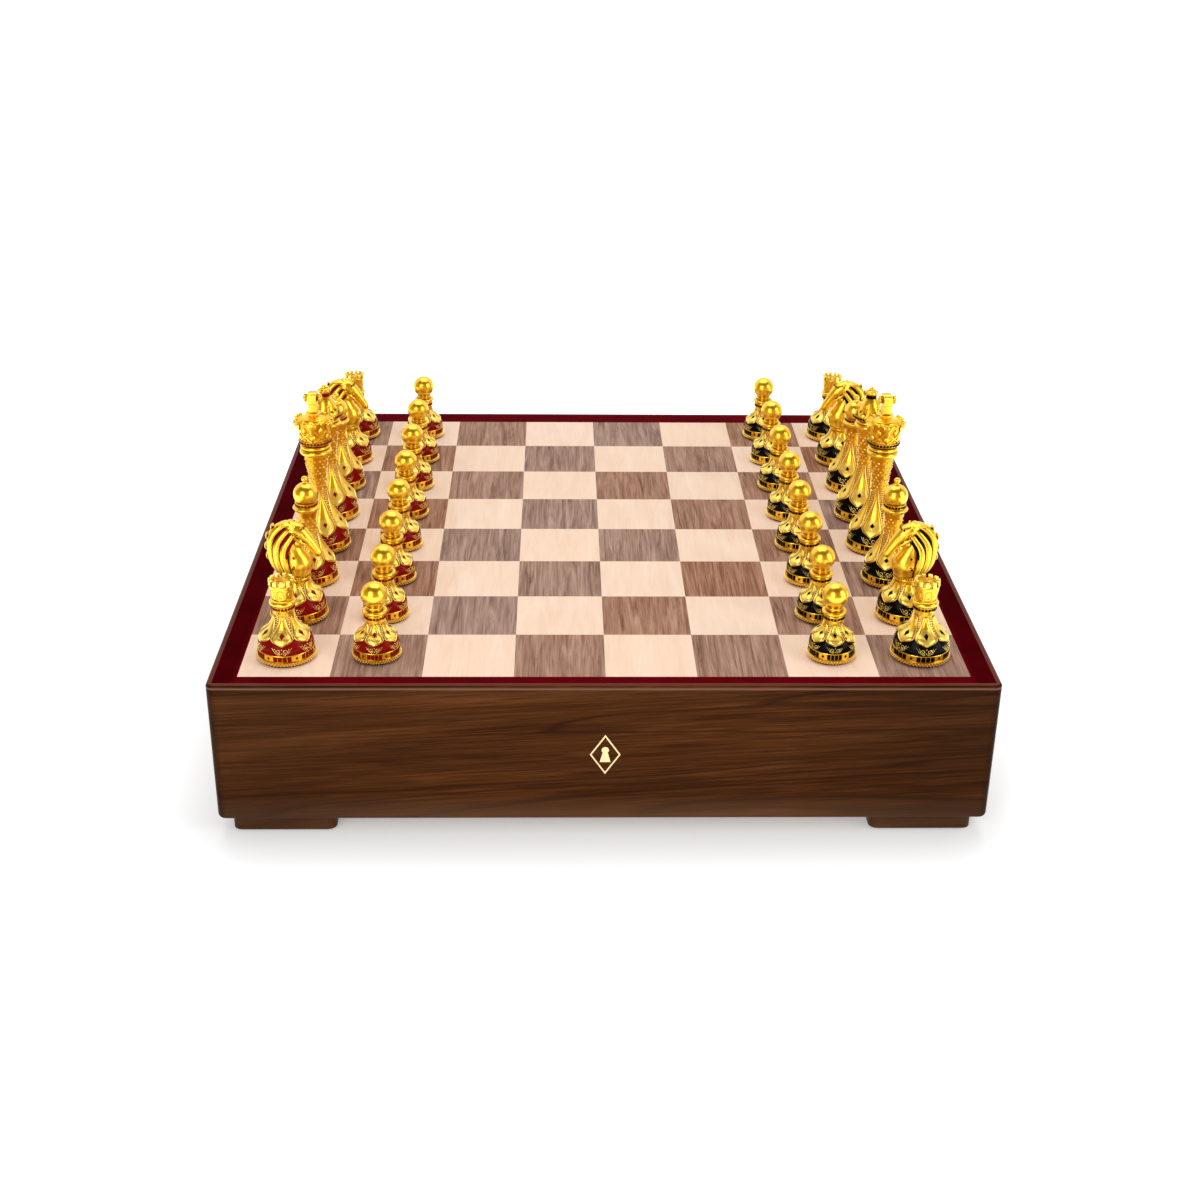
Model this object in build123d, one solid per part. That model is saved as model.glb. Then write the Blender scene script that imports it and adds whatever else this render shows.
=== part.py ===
from build123d import *
import math
import os

# Walnut game box with an inlaid chess board for a lid, a drawer at each player's end and a full
# set of pieces standing in their starting places. Millimetres, +Z up. The origin is on the
# surface that the foot pads stand on, under the middle of the box. The front looks along -Y, and
# the two players sit at -X and +X.

# Board, with the border strips that lie between the walls and the squares
squares_per_side = 8
side_border = 12.7
front_border = 7.3
back_border = 16.1
veneer_thickness = 1.0
board_thickness = 9.0

# Case
case_width = 432.0
case_depth = 430.0
case_height = 85.5
wall_thickness = 12.0
top_lip = 3.3  # width of the wall that shows around the board
corner_round = 4.5
top_round = 1.8
bottom_round = 3.0
base_thickness = 6.0
base_lip = 4.5
partition_thickness = 12.0

# Drawer openings in the two end walls
bottom_rail = 12.0
top_rail = 16.0
end_stile = 24.0

# Drawers
front_reveal = 1.0
slide_clearance = 0.3
side_clearance = 1.5
drawer_side_thickness = 8.0
drawer_side_height = 48.0
drawer_bottom_thickness = 4.0
drawer_bottom_raise = 3.0
groove_depth = 3.0
lining_thickness = 2.0
notch_radius = 15.0
runner_ledge = 10.0
runner_guide_height = 22.0

# Magnetic catches between the partition and the drawer backs
magnet_radius = 5.0
magnet_stand = 1.5
magnet_fit = 0.1
magnet_spacing = 240.0
strike_thickness = 1.0
strike_width = 22.0
strike_height = 16.0

# Feet
foot_size = 58.0
foot_height = 10.0
foot_inset_side = 7.0
foot_inset_front = 6.0
foot_round = 5.0
pad_thickness = 1.2
pad_margin = 3.0
screw_radius = 2.0
screw_head_radius = 4.0
screw_head_height = 2.6
screw_bite = 4.0
screw_fit = 0.05
screw_sink = 1.0

# Inlaid emblem on the front
emblem_width = 17.0
emblem_height = 25.0
emblem_line = 1.0
emblem_depth = 0.6
emblem_drop = 43.0  # from the board down to the middle of the emblem
emblem_pawn_height = 9.6
emblem_pawn_width = 6.0

# How the pieces were set down on their squares
first_row_out = 1.6
drift_in_per_row = 0.35
drift_front_per_row = 0.4

# Every piece: felt, rim, band and the small belts of enamel
felt_thickness = 1.0
felt_margin = 1.2
rim_height = 2.4
rim_round = 0.8
band_height = 4.0
band_step = 0.7
bell_bulge = 0.8
belt_height = 2.0

# Pawn
pawn_base_radius = 13.4
pawn_shoulder_radius = 10.4
pawn_shoulder_rise = 7.1
pawn_waist_radius = 5.2
pawn_waist_rise = 6.2
pawn_neck_rise = 2.5
pawn_belt_radius = 6.0
pawn_collar_radius = 6.9
pawn_collar_height = 3.2
pawn_cup_radius = 4.4
pawn_cup_rise = 3.6
pawn_ball_radius = 7.1

# Rook
rook_base_radius = 16.3
rook_shoulder_radius = 12.6
rook_shoulder_rise = 8.4
rook_waist_radius = 5.5
rook_waist_rise = 11.7
rook_neck_rise = 2.4
rook_belt_radius = 6.5
rook_collar_radius = 7.4
rook_collar_height = 3.2
rook_tower_foot_radius = 5.8
rook_tower_top_radius = 7.1
rook_tower_height = 12.4
rook_wall = 1.8
rook_merlon_height = 2.6
rook_merlons = 11
rook_gap_share = 0.42  # share of each merlon's pitch that is open
rook_well_depth = 4.6

# Bishop
bishop_base_radius = 16.5
bishop_shoulder_radius = 13.0
bishop_shoulder_rise = 8.6
bishop_waist_radius = 5.3
bishop_waist_rise = 25.6
bishop_neck_rise = 3.8
bishop_neck_radius = 6.3
bishop_collar_radius = 8.0
bishop_collar_height = 3.4
bishop_belt_radius = 6.7
bishop_dome_radius = 7.2
bishop_dome_rise = 4.8
bishop_stalk_radius = 1.2
bishop_stalk_rise = 1.0
bishop_tip_radius = 1.9

# Knight
knight_base_radius = 16.5
knight_shoulder_radius = 13.0
knight_shoulder_rise = 8.6
knight_waist_radius = 7.0
knight_waist_rise = 9.0
knight_chest_radius = 8.3
knight_chest_height = 9.0
knight_head_height = 59.4
knight_head_thickness = 10.0
knight_mane_reach = 13.6
knight_muzzle_reach = 15.6
knight_edge = 1.4

# Queen
queen_base_radius = 17.8
queen_shoulder_radius = 14.4
queen_shoulder_rise = 8.8
queen_waist_radius = 5.2
queen_waist_rise = 28.0
queen_neck_rise = 17.9
queen_neck_radius = 7.4
queen_ring_radius = 9.3
queen_ring_height = 5.6
queen_belt_radius = 10.6
queen_belt_rise = 1.6
queen_arm_rise = 6.6
queen_arm_radius = 1.0
queen_arm_inset = 1.4  # from the belt's face in to the middle of an arm
queen_bead_radius = 1.35
queen_arms = 8
queen_dome_radius = 8.0
queen_dome_rise = 10.6
queen_dome_fullness = 0.7
queen_cap_radius = 3.3
queen_cap_height = 2.6
queen_coronet_radius = 4.0
queen_coronet_height = 3.6
queen_tip_radius = 1.7

# King
king_base_radius = 18.0
king_shoulder_radius = 14.6
king_shoulder_rise = 8.8
king_waist_radius = 5.2
king_waist_rise = 30.8
king_neck_rise = 15.3
king_neck_radius = 7.4
king_ring_radius = 9.8
king_ring_height = 6.4
king_belt_radius = 10.1
king_belt_rise = 1.6
king_cup_foot_radius = 9.0
king_crown_radius = 12.9
king_crown_rise = 10.6
king_leaf_height = 3.4
king_leaves = 8
king_cup_fullness = 0.36
king_leaf_share = 0.62  # share of each leaf's pitch that the leaf takes
king_leaf_thickness = 2.7
king_disc_radius = 4.8
king_disc_rise = 4.2
king_stem_radius = 3.4
king_disc_thickness = 1.4
king_cross_thickness = 5.6
king_cross_height = 13.2
king_cross_span = 12.0
king_arm_height = 5.0
king_arm_drop = 0.8  # the cross's top stands this far above its arms
king_rosette_reach = 5.6
king_rosette_radius = 2.2

# Levels, worked out from the sizes above
case_bottom = pad_thickness + foot_height
board_top = case_bottom + case_height
veneer_bottom = board_top - veneer_thickness
board_bottom = veneer_bottom - board_thickness
base_top = case_bottom + base_thickness
opening_bottom = case_bottom + bottom_rail
opening_top = board_top - top_rail
half_width = case_width / 2
half_depth = case_depth / 2
inner_x = half_width - wall_thickness
inner_y = half_depth - wall_thickness
opening_y = half_depth - end_stile
field_room_x = case_width - 2 * (top_lip + side_border)
field_room_y = case_depth - 2 * top_lip - front_border - back_border
square = min(field_room_x, field_room_y) / squares_per_side  # the shorter way across sets it
half_field = square * squares_per_side / 2
field_shift = (front_border - back_border) / 2
band_bottom = felt_thickness + rim_height
band_top = band_bottom + band_height


def block(low, high):
    """A box from its lowest corner to its highest."""
    size = [b - a for a, b in zip(low, high)]
    middle = [(a + b) / 2 for a, b in zip(low, high)]
    return Pos(*middle) * Box(*size)


def centred(half_x, half_y, z_low, z_high):
    """A box about the case's middle, between two levels."""
    return block((-half_x, -half_y, z_low), (half_x, half_y, z_high))


def put(node, *solids):
    """Write one sub-part: each argument is a separate solid of it."""
    shapes = [solid for shape in solids for solid in shape.solids()]
    export_step(Compound(children=shapes), f"parts/{node}.step")


def prism(points, z_low, z_high):
    """An upright prism over an outline in plan."""
    outline = make_face(Polyline(*points, close=True))
    return Pos(0, 0, z_low) * extrude(outline, z_high - z_low, dir=(0, 0, 1))


# Case walls, mitred at the corners


def case_walls():
    """The four walls as one ring, with the rabbets that hold the board and the base."""
    ring = centred(half_width, half_depth, case_bottom, board_top)
    ring = fillet(ring.edges().filter_by(Axis.Z), corner_round)
    ring = fillet(ring.faces().sort_by(Axis.Z)[-1].edges(), top_round)
    ring = fillet(ring.faces().sort_by(Axis.Z)[0].edges(), bottom_round)
    ring -= centred(inner_x, inner_y, case_bottom, board_top)
    ring -= centred(half_width - top_lip, half_depth - top_lip, board_bottom, board_top)
    ring -= centred(half_width - base_lip, half_depth - base_lip, case_bottom, base_top)
    return ring


def mitre_wedge(along_x, side):
    """The part of the plan that belongs to one wall, cut at 45 degrees at both corners."""
    if along_x:
        outer = [(-half_width, side * half_depth), (half_width, side * half_depth)]
        inner = [(inner_x, side * inner_y), (-inner_x, side * inner_y)]
    else:
        outer = [(side * half_width, -half_depth), (side * half_width, half_depth)]
        inner = [(side * inner_x, inner_y), (side * inner_x, -inner_y)]
    return prism(outer + inner, case_bottom, board_top)


def drawer_opening(side):
    """The hole in an end wall that a drawer slides through."""
    near, far = sorted((side * (inner_x - wall_thickness), side * (half_width + wall_thickness)))
    return block((near, -opening_y, opening_bottom), (far, opening_y, opening_top))


def emblem_shapes(depth):
    """A plain lozenge line around a small pawn, as flat inlays lying in the front face."""
    level = board_top - emblem_drop
    across, up = emblem_width / 2, emblem_height / 2
    corners = [(0, up), (across, 0), (0, -up), (-across, 0)]
    inner_share = 1 - 2 * emblem_line / emblem_width
    inner = [(x * inner_share, y * inner_share) for x, y in corners]
    frame = make_face(Polyline(*corners, close=True)) - make_face(Polyline(*inner, close=True))
    foot = emblem_pawn_width / 2
    low = -emblem_pawn_height / 2
    head_radius = emblem_pawn_width / 3
    neck = head_radius / 2
    head_level = -low - head_radius
    head = Pos(0, head_level) * Circle(head_radius)
    skirt = Polyline((-foot, low), (foot, low), (neck, head_level), (-neck, head_level), close=True)
    pawn = head + make_face(skirt)
    plane = Plane(origin=(0, -half_depth, level), x_dir=(1, 0, 0), z_dir=(0, -1, 0))
    return [extrude(plane * shape, -depth) for shape in (frame, pawn)]


def make_case():
    ring = case_walls()
    emblem = emblem_shapes(emblem_depth)
    front = ring & mitre_wedge(True, -1)
    for shape in emblem:
        front -= shape
    put("front_panel", front)
    put("emblem_inlay", *emblem)
    put("back_panel", ring & mitre_wedge(True, 1))
    for name, side in (("left", -1), ("right", 1)):
        put(f"{name}_end_wall", (ring & mitre_wedge(False, side)) - drawer_opening(side))
    base = centred(half_width - base_lip, half_depth - base_lip, case_bottom, base_top)
    for x, y in foot_places():
        base -= Pos(x, y, case_bottom) * pilot_hole()
    put("base_panel", base)
    partition = centred(partition_thickness / 2, inner_y, base_top, board_bottom)
    for y in magnet_places():
        partition -= Pos(0, y, magnet_level()) * magnet(magnet_fit)
    put("centre_partition", partition)
    put("catch_magnets", *[Pos(0, y, magnet_level()) * magnet(0) for y in magnet_places()])


# Board: a core with the squares and the border laid on it


def make_board():
    edge_x = half_width - top_lip
    edge_y = half_depth - top_lip
    put("board_core", centred(edge_x, edge_y, board_bottom, veneer_bottom))
    light, dark = [], []
    for file in range(squares_per_side):
        for row in range(squares_per_side):
            x = (file + 0.5) * square - half_field
            y = (row + 0.5) * square - half_field + field_shift
            half = square / 2
            tile = block((x - half, y - half, veneer_bottom), (x + half, y + half, board_top))
            (light if (file + row) % 2 == 0 else dark).append(tile)
    put("light_squares", *light)
    put("dark_squares", *dark)
    put("border_strips", *border_strips(edge_x, edge_y))


def border_strips(edge_x, edge_y):
    """Four lacquered strips between the squares and the walls, mitred at the corners."""
    low, high = field_shift - half_field, field_shift + half_field
    outer = [(-edge_x, -edge_y), (edge_x, -edge_y), (edge_x, edge_y), (-edge_x, edge_y)]
    inner = [(-half_field, low), (half_field, low), (half_field, high), (-half_field, high)]
    strips = []
    for here, following in ((0, 1), (1, 2), (2, 3), (3, 0)):
        points = [outer[here], outer[following], inner[following], inner[here]]
        strips.append(prism(points, veneer_bottom, board_top))
    return strips


# Magnets, feet, pads and screws


def magnet_places():
    return (-magnet_spacing / 2, magnet_spacing / 2)


def magnet_level():
    """The magnets meet the middle of the drawer's back."""
    return opening_bottom + slide_clearance + drawer_side_height / 2


def magnet(clearance):
    length = partition_thickness + 2 * magnet_stand
    return Rot(0, 90, 0) * Cylinder(magnet_radius + clearance, length)


def foot_places():
    x = half_width - foot_inset_side - foot_size / 2
    y = half_depth - foot_inset_front - foot_size / 2
    return [(-x, -y), (x, -y), (x, y), (-x, y)]


def pilot_hole():
    """The hole that a foot screw bites into, from the underside of the base."""
    return Cylinder(screw_radius + screw_fit, screw_bite, align=(Align.CENTER, Align.CENTER, Align.MIN))


def foot_screw(clearance, head_top):
    """A flat-headed screw, head down. Its head starts at head_top above the pad."""
    rest = (Align.CENTER, Align.CENTER, Align.MIN)
    head = Cylinder(screw_head_radius + clearance, screw_head_height, align=rest)
    shank_length = foot_height - head_top + screw_bite
    shank = Cylinder(screw_radius + clearance, shank_length, align=rest)
    return Pos(0, 0, pad_thickness + head_top) * (head + shank)


def make_feet():
    feet, pads, screws = [], [], []
    for x, y in foot_places():
        half = foot_size / 2
        foot = block((x - half, y - half, pad_thickness), (x + half, y + half, case_bottom))
        foot = fillet(foot.edges().filter_by(Axis.Z), foot_round)
        sink = Pos(0, 0, pad_thickness) * Cylinder(
            screw_head_radius + screw_fit, screw_sink, align=(Align.CENTER, Align.CENTER, Align.MIN)
        )
        foot -= Pos(x, y, 0) * (foot_screw(screw_fit, screw_sink) + sink)
        feet.append(foot)
        half -= pad_margin
        pad = block((x - half, y - half, 0), (x + half, y + half, pad_thickness))
        pads.append(fillet(pad.edges().filter_by(Axis.Z), foot_round))
        screws.append(Pos(x, y, 0) * foot_screw(0, screw_sink))
    put("feet", *feet)
    put("foot_pads", *pads)
    put("foot_screws", *screws)


# Drawers and the runners that carry them


def drawer_half_depth():
    return opening_y - side_clearance


def drawer_back_x():
    """Outer face of the drawer's back, clear of the strike and the magnet."""
    return partition_thickness / 2 + magnet_stand + strike_thickness


def make_runners():
    """L-shaped wooden strips: a ledge under each drawer side and a guide beside it."""
    guide_y = drawer_half_depth() + slide_clearance
    ledge_y = drawer_half_depth() - runner_ledge
    runners = []
    for side in (-1, 1):
        for x_low, x_high in ((-inner_x, -partition_thickness / 2), (partition_thickness / 2, inner_x)):
            y_low, y_high = sorted((side * ledge_y, side * inner_y))
            runner = block((x_low, y_low, base_top), (x_high, y_high, opening_bottom))
            y_low, y_high = sorted((side * guide_y, side * inner_y))
            top = opening_bottom + runner_guide_height
            runner += block((x_low, y_low, opening_bottom), (x_high, y_high, top))
            runners.append(runner)
    put("drawer_runners", *runners)


def make_drawer(name, side):
    """One drawer, drawn for the right end and mirrored for the left."""
    bottom = opening_bottom + slide_clearance
    top = bottom + drawer_side_height
    outer_y = drawer_half_depth()
    back = drawer_back_x()
    inside_x = back + drawer_side_thickness
    inside_y = outer_y - drawer_side_thickness
    floor_low = bottom + drawer_bottom_raise
    floor_high = floor_low + drawer_bottom_thickness
    floor = block(
        (inside_x - groove_depth, -inside_y - groove_depth, floor_low),
        (inner_x, inside_y + groove_depth, floor_high),
    )
    sides = []
    for hand in (-1, 1):
        y_low, y_high = sorted((hand * inside_y, hand * outer_y))
        sides.append(block((back, y_low, bottom), (inner_x, y_high, top)) - floor)
    back_board = block((back, -inside_y, bottom), (inside_x, inside_y, top)) - floor
    lining = block((inside_x, -inside_y, floor_high), (inner_x, inside_y, floor_high + lining_thickness))
    front = block(
        (inner_x, front_reveal - opening_y, opening_bottom + front_reveal),
        (half_width, opening_y - front_reveal, opening_top - front_reveal),
    )
    notch = Pos(inner_x + wall_thickness / 2, 0, opening_top - front_reveal)
    front -= notch * (Rot(0, 90, 0) * Cylinder(notch_radius, 2 * wall_thickness))
    strikes = []
    for y in magnet_places():
        strikes.append(
            block(
                (back - strike_thickness, y - strike_width / 2, magnet_level() - strike_height / 2),
                (back, y + strike_width / 2, magnet_level() + strike_height / 2),
            )
        )
    pieces = {
        "drawer_front": [front],
        "drawer_sides": sides,
        "drawer_back": [back_board],
        "drawer_bottom": [floor],
        "drawer_lining": [lining],
        "drawer_strikes": strikes,
    }
    for piece, solids in pieces.items():
        if side < 0:
            solids = [solid.mirror(Plane.YZ) for solid in solids]
        put(f"{name}_{piece}", *solids)


# Chess pieces, each drawn about its own axis with its felt on the level z = 0


bead_turn = 1 - math.sqrt(0.5)  # how far the middle of a quarter round stands in from its corner
near_waist = 0.34  # where the sweep's middle point lies, as a share of its rise and run


def turned(*curves):
    """A solid of revolution about Z from the curves of a half outline, in order, up its outside."""
    start = curves[0] @ 0
    end = curves[-1] @ 1
    axis_line = Polyline((end.X, 0, end.Z), (0, 0, end.Z), (0, 0, start.Z), (start.X, 0, start.Z))
    if end.X < 1e-6:
        axis_line = Polyline((0, 0, end.Z), (0, 0, start.Z), (start.X, 0, start.Z))
    outline = make_face(list(curves) + [axis_line])
    return revolve(outline, Axis.Z)


def steps(*points):
    """Straight turned steps through points given as radius and height."""
    return Polyline(*[(radius, 0, height) for radius, height in points])


def arc(start, middle, end):
    """A turned arc through three points given as radius and height."""
    return ThreePointArc(*[(radius, 0, height) for radius, height in (start, middle, end)])


def ring_arc(radius, low, height, foot_radius):
    """A rounded ring: a half round that leaves and meets foot_radius."""
    return arc((foot_radius, low), (radius, low + height / 2), (foot_radius, low + height))


def belt_steps(neck_radius, neck_low, belt_radius, belt_low):
    """A straight neck with the narrow enamelled belt standing out above it."""
    belt_high = belt_low + belt_height
    neck = ((neck_radius, neck_low), (neck_radius, belt_low))
    return steps(*neck, (belt_radius, belt_low), (belt_radius, belt_high))


def foot_and_bell(base_radius, shoulder_radius, shoulder_rise, waist_radius, waist_rise):
    """The lower half that every piece shares: rim, band, bell and the sweep up to the waist."""
    band_radius = base_radius - band_step
    shoulder = band_top + shoulder_rise
    waist = shoulder + waist_rise
    bell_middle = ((band_radius + shoulder_radius) / 2 + bell_bulge, (band_top + shoulder) / 2)
    sweep_middle = (
        waist_radius + (shoulder_radius - waist_radius) * near_waist,
        shoulder + waist_rise * near_waist,
    )
    curves = [
        arc(
            (base_radius - rim_round, felt_thickness),
            (base_radius - rim_round * bead_turn, felt_thickness + rim_round * bead_turn),
            (base_radius, felt_thickness + rim_round),
        ),
        steps(
            (base_radius, felt_thickness + rim_round),
            (base_radius, band_bottom),
            (band_radius, band_bottom),
            (band_radius, band_top),
        ),
        arc((band_radius, band_top), bell_middle, (shoulder_radius, shoulder)),
        arc((shoulder_radius, shoulder), sweep_middle, (waist_radius, waist)),
    ]
    return curves, waist


def felt(base_radius):
    return Cylinder(base_radius - felt_margin, felt_thickness, align=(Align.CENTER, Align.CENTER, Align.MIN))


def pawn():
    curves, level = foot_and_bell(
        pawn_base_radius, pawn_shoulder_radius, pawn_shoulder_rise, pawn_waist_radius, pawn_waist_rise
    )
    belt = level + pawn_neck_rise
    collar = belt + belt_height
    cup = collar + pawn_collar_height
    ball_start = cup + pawn_cup_rise
    ball = ball_start + math.sqrt(pawn_ball_radius**2 - pawn_cup_radius**2)
    curves += [
        belt_steps(pawn_waist_radius, level, pawn_belt_radius, belt),
        ring_arc(pawn_collar_radius, collar, pawn_collar_height, pawn_belt_radius),
        steps((pawn_belt_radius, cup), (pawn_cup_radius, cup), (pawn_cup_radius, ball_start)),
        arc((pawn_cup_radius, ball_start), (pawn_ball_radius, ball), (0, ball + pawn_ball_radius)),
    ]
    return turned(*curves), felt(pawn_base_radius)


def rook():
    curves, level = foot_and_bell(
        rook_base_radius, rook_shoulder_radius, rook_shoulder_rise, rook_waist_radius, rook_waist_rise
    )
    belt = level + rook_neck_rise
    collar = belt + belt_height
    foot = collar + rook_collar_height
    top = foot + rook_tower_height
    well = rook_tower_top_radius - rook_wall
    curves += [
        belt_steps(rook_waist_radius, level, rook_belt_radius, belt),
        ring_arc(rook_collar_radius, collar, rook_collar_height, rook_belt_radius),
        steps(
            (rook_belt_radius, foot),
            (rook_tower_foot_radius, foot),
            (rook_tower_top_radius, top - rook_merlon_height),
            (rook_tower_top_radius, top),
            (well, top),
            (well, top - rook_well_depth),
        ),
    ]
    tower = turned(*curves)
    gap = 2 * math.pi * rook_tower_top_radius / rook_merlons * rook_gap_share
    cutter = block((0, -gap / 2, top - rook_merlon_height), (2 * rook_tower_top_radius, gap / 2, top + 1))
    for turn in range(rook_merlons):
        tower -= Rot(0, 0, 360 / rook_merlons * turn) * cutter
    return tower, felt(rook_base_radius)


def bishop():
    curves, level = foot_and_bell(
        bishop_base_radius,
        bishop_shoulder_radius,
        bishop_shoulder_rise,
        bishop_waist_radius,
        bishop_waist_rise,
    )
    collar = level + bishop_neck_rise
    belt = collar + bishop_collar_height
    dome = belt + belt_height
    centre = dome + bishop_dome_rise
    stalk = centre + math.sqrt(bishop_dome_radius**2 - bishop_stalk_radius**2)
    tip = stalk + bishop_stalk_rise
    tip_centre = tip + math.sqrt(bishop_tip_radius**2 - bishop_stalk_radius**2)
    side = bishop_dome_radius * math.sqrt(0.5)
    curves += [
        steps((bishop_waist_radius, level), (bishop_neck_radius, collar)),
        ring_arc(bishop_collar_radius, collar, bishop_collar_height, bishop_neck_radius),
        steps((bishop_neck_radius, belt), (bishop_belt_radius, belt), (bishop_belt_radius, dome)),
        steps((bishop_belt_radius, dome), (bishop_dome_radius, centre)),
        arc((bishop_dome_radius, centre), (side, centre + side), (bishop_stalk_radius, stalk)),
        steps((bishop_stalk_radius, stalk), (bishop_stalk_radius, tip)),
        arc((bishop_stalk_radius, tip), (bishop_tip_radius, tip_centre), (0, tip_centre + bishop_tip_radius)),
    ]
    return turned(*curves), felt(bishop_base_radius)


def knight():
    """The foot with a round chest, and a horse's head and mane that look along +X."""
    curves, level = foot_and_bell(
        knight_base_radius,
        knight_shoulder_radius,
        knight_shoulder_rise,
        knight_waist_radius,
        knight_waist_rise,
    )
    curves += [ring_arc(knight_chest_radius, level, knight_chest_height, knight_waist_radius)]
    body = turned(*curves)
    rise = knight_head_height - level  # the head is drawn in shares of its own height and reach
    mane = knight_mane_reach
    nose = knight_muzzle_reach
    crest = Spline(
        (-0.42 * mane, 0, level + 0.06 * rise),
        (-0.93 * mane, 0, level + 0.40 * rise),
        (-0.86 * mane, 0, level + 0.74 * rise),
        (-0.20 * mane, 0, level + 0.985 * rise),
    )
    face_line = Polyline(
        crest @ 1,
        (0.34 * nose, 0, level + 1.0 * rise),
        (0.52 * nose, 0, level + 0.86 * rise),
        (1.0 * nose, 0, level + 0.40 * rise),
        (0.88 * nose, 0, level + 0.27 * rise),
        (0.50 * nose, 0, level + 0.30 * rise),
        (0.46 * nose, 0, level + 0.06 * rise),
        crest @ 0,
    )
    side_view = make_face([crest, face_line])
    head = extrude(side_view, knight_head_thickness / 2, dir=(0, 1, 0), both=True)
    head = chamfer(head.faces().filter_by(Axis.Y).edges(), knight_edge)
    return body + head, felt(knight_base_radius)


def queen():
    curves, level = foot_and_bell(
        queen_base_radius, queen_shoulder_radius, queen_shoulder_rise, queen_waist_radius, queen_waist_rise
    )
    ring = level + queen_neck_rise
    belt = ring + queen_ring_height + queen_belt_rise
    crown = belt + belt_height
    cap = crown + queen_dome_rise
    coronet = cap + queen_cap_height
    tip = coronet + queen_coronet_height
    tip_radius = queen_tip_radius
    tip_side = tip_radius * math.sqrt(0.5)
    dome_middle = (
        queen_cap_radius + (queen_dome_radius - queen_cap_radius) * queen_dome_fullness,
        crown + queen_dome_rise / 2,
    )
    curves += [
        steps((queen_waist_radius, level), (queen_neck_radius, ring)),
        ring_arc(queen_ring_radius, ring, queen_ring_height, queen_neck_radius),
        steps(
            (queen_neck_radius, ring + queen_ring_height),
            (queen_belt_radius, belt),
            (queen_belt_radius, crown),
            (queen_dome_radius, crown),
        ),
        arc((queen_dome_radius, crown), dome_middle, (queen_cap_radius, cap)),
        steps(
            (queen_cap_radius, cap),
            (queen_cap_radius, coronet),
            (queen_coronet_radius, tip),
            (tip_radius, tip),
        ),
        arc((tip_radius, tip), (tip_side, tip + tip_side), (0, tip + tip_radius)),
    ]
    body = turned(*curves)
    arm_top = crown + queen_arm_rise
    arm_foot = queen_belt_radius - queen_arm_inset
    for turn in range(queen_arms):
        arm = Cylinder(queen_arm_radius, queen_arm_rise, align=(Align.CENTER, Align.CENTER, Align.MIN))
        arm = Pos(arm_foot, 0, crown) * arm
        arm += Pos(arm_foot, 0, arm_top) * Sphere(queen_bead_radius)
        body += Rot(0, 0, 360 / queen_arms * (turn + 0.5)) * arm
    return body, felt(queen_base_radius)


def king():
    curves, level = foot_and_bell(
        king_base_radius, king_shoulder_radius, king_shoulder_rise, king_waist_radius, king_waist_rise
    )
    ring = level + king_neck_rise
    belt = ring + king_ring_height + king_belt_rise
    cup = belt + belt_height
    rim = cup + king_crown_rise
    disc = rim + king_disc_rise
    top = disc + king_disc_thickness
    cup_middle = (
        king_cup_foot_radius + (king_crown_radius - king_cup_foot_radius) * king_cup_fullness,
        cup + king_crown_rise / 2,
    )
    curves += [
        steps((king_waist_radius, level), (king_neck_radius, ring)),
        ring_arc(king_ring_radius, ring, king_ring_height, king_neck_radius),
        steps(
            (king_neck_radius, ring + king_ring_height),
            (king_belt_radius, belt),
            (king_belt_radius, cup),
            (king_cup_foot_radius, cup),
        ),
        arc((king_cup_foot_radius, cup), cup_middle, (king_crown_radius, rim)),
        steps(
            (king_crown_radius, rim),
            (king_stem_radius, rim),
            (king_stem_radius, disc),
            (king_disc_radius, disc),
            (king_disc_radius, top),
        ),
    ]
    body = turned(*curves)
    leaf_width = 2 * math.pi * king_crown_radius / king_leaves * king_leaf_share
    for turn in range(king_leaves):
        leaf = block(
            (king_crown_radius - king_leaf_thickness, -leaf_width / 2, rim - king_leaf_height / 2),
            (king_crown_radius, leaf_width / 2, rim + king_leaf_height / 2),
        )
        leaf = fillet(leaf.edges().filter_by(Axis.Y), min(king_leaf_thickness, king_leaf_height) / 3)
        body += Rot(0, 0, 360 / king_leaves * turn) * leaf
    half = king_cross_thickness / 2
    cross_top = top + king_cross_height
    arm_top = cross_top - king_arm_drop
    body += block((-half, -half, top), (half, half, cross_top))
    span = king_cross_span / 2
    body += block((-half, -span, arm_top - king_arm_height), (half, span, arm_top))
    rosette_axis = Pos(-half, 0, arm_top - king_arm_height / 2) * Rot(0, -90, 0)
    reach = king_rosette_reach - half
    body += rosette_axis * Cylinder(king_rosette_radius, reach, align=(Align.CENTER, Align.CENTER, Align.MIN))
    return body, felt(king_base_radius)


def stand(shapes, file, row):
    """Set a piece on its square, turned to look across the board at the other player."""
    x = (file + 0.5) * square - half_field
    y = (row + 0.5) * square - half_field + field_shift
    outward = 1 if x > 0 else -1
    x += outward * (first_row_out - drift_in_per_row * row)
    y -= drift_front_per_row * row
    turn = 180 if outward > 0 else 0
    place = Pos(x, y, board_top) * Rot(0, 0, turn)
    return [place * shape for shape in shapes]


def make_pieces():
    back_row = (
        ("front_rook", rook),
        ("front_knight", knight),
        ("front_bishop", bishop),
        ("king", king),
        ("queen", queen),
        ("back_bishop", bishop),
        ("back_knight", knight),
        ("back_rook", rook),
    )
    shapes = {make: make() for make in (pawn, rook, bishop, knight, queen, king)}
    last = squares_per_side - 1
    for colour, home, pawns in (("red", 0, 1), ("black", last, last - 1)):
        for row, (name, make) in enumerate(back_row):
            put(f"{colour}_{name}", *stand(shapes[make], home, row))
            put(f"{colour}_pawn_{row + 1}", *stand(shapes[pawn], pawns, row))


os.makedirs("parts", exist_ok=True)
make_case()
make_board()
make_feet()
make_runners()
make_drawer("left", -1)
make_drawer("right", 1)
make_pieces()
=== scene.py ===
import bpy
import numpy as np
from mathutils import Matrix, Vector
from types import SimpleNamespace


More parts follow.
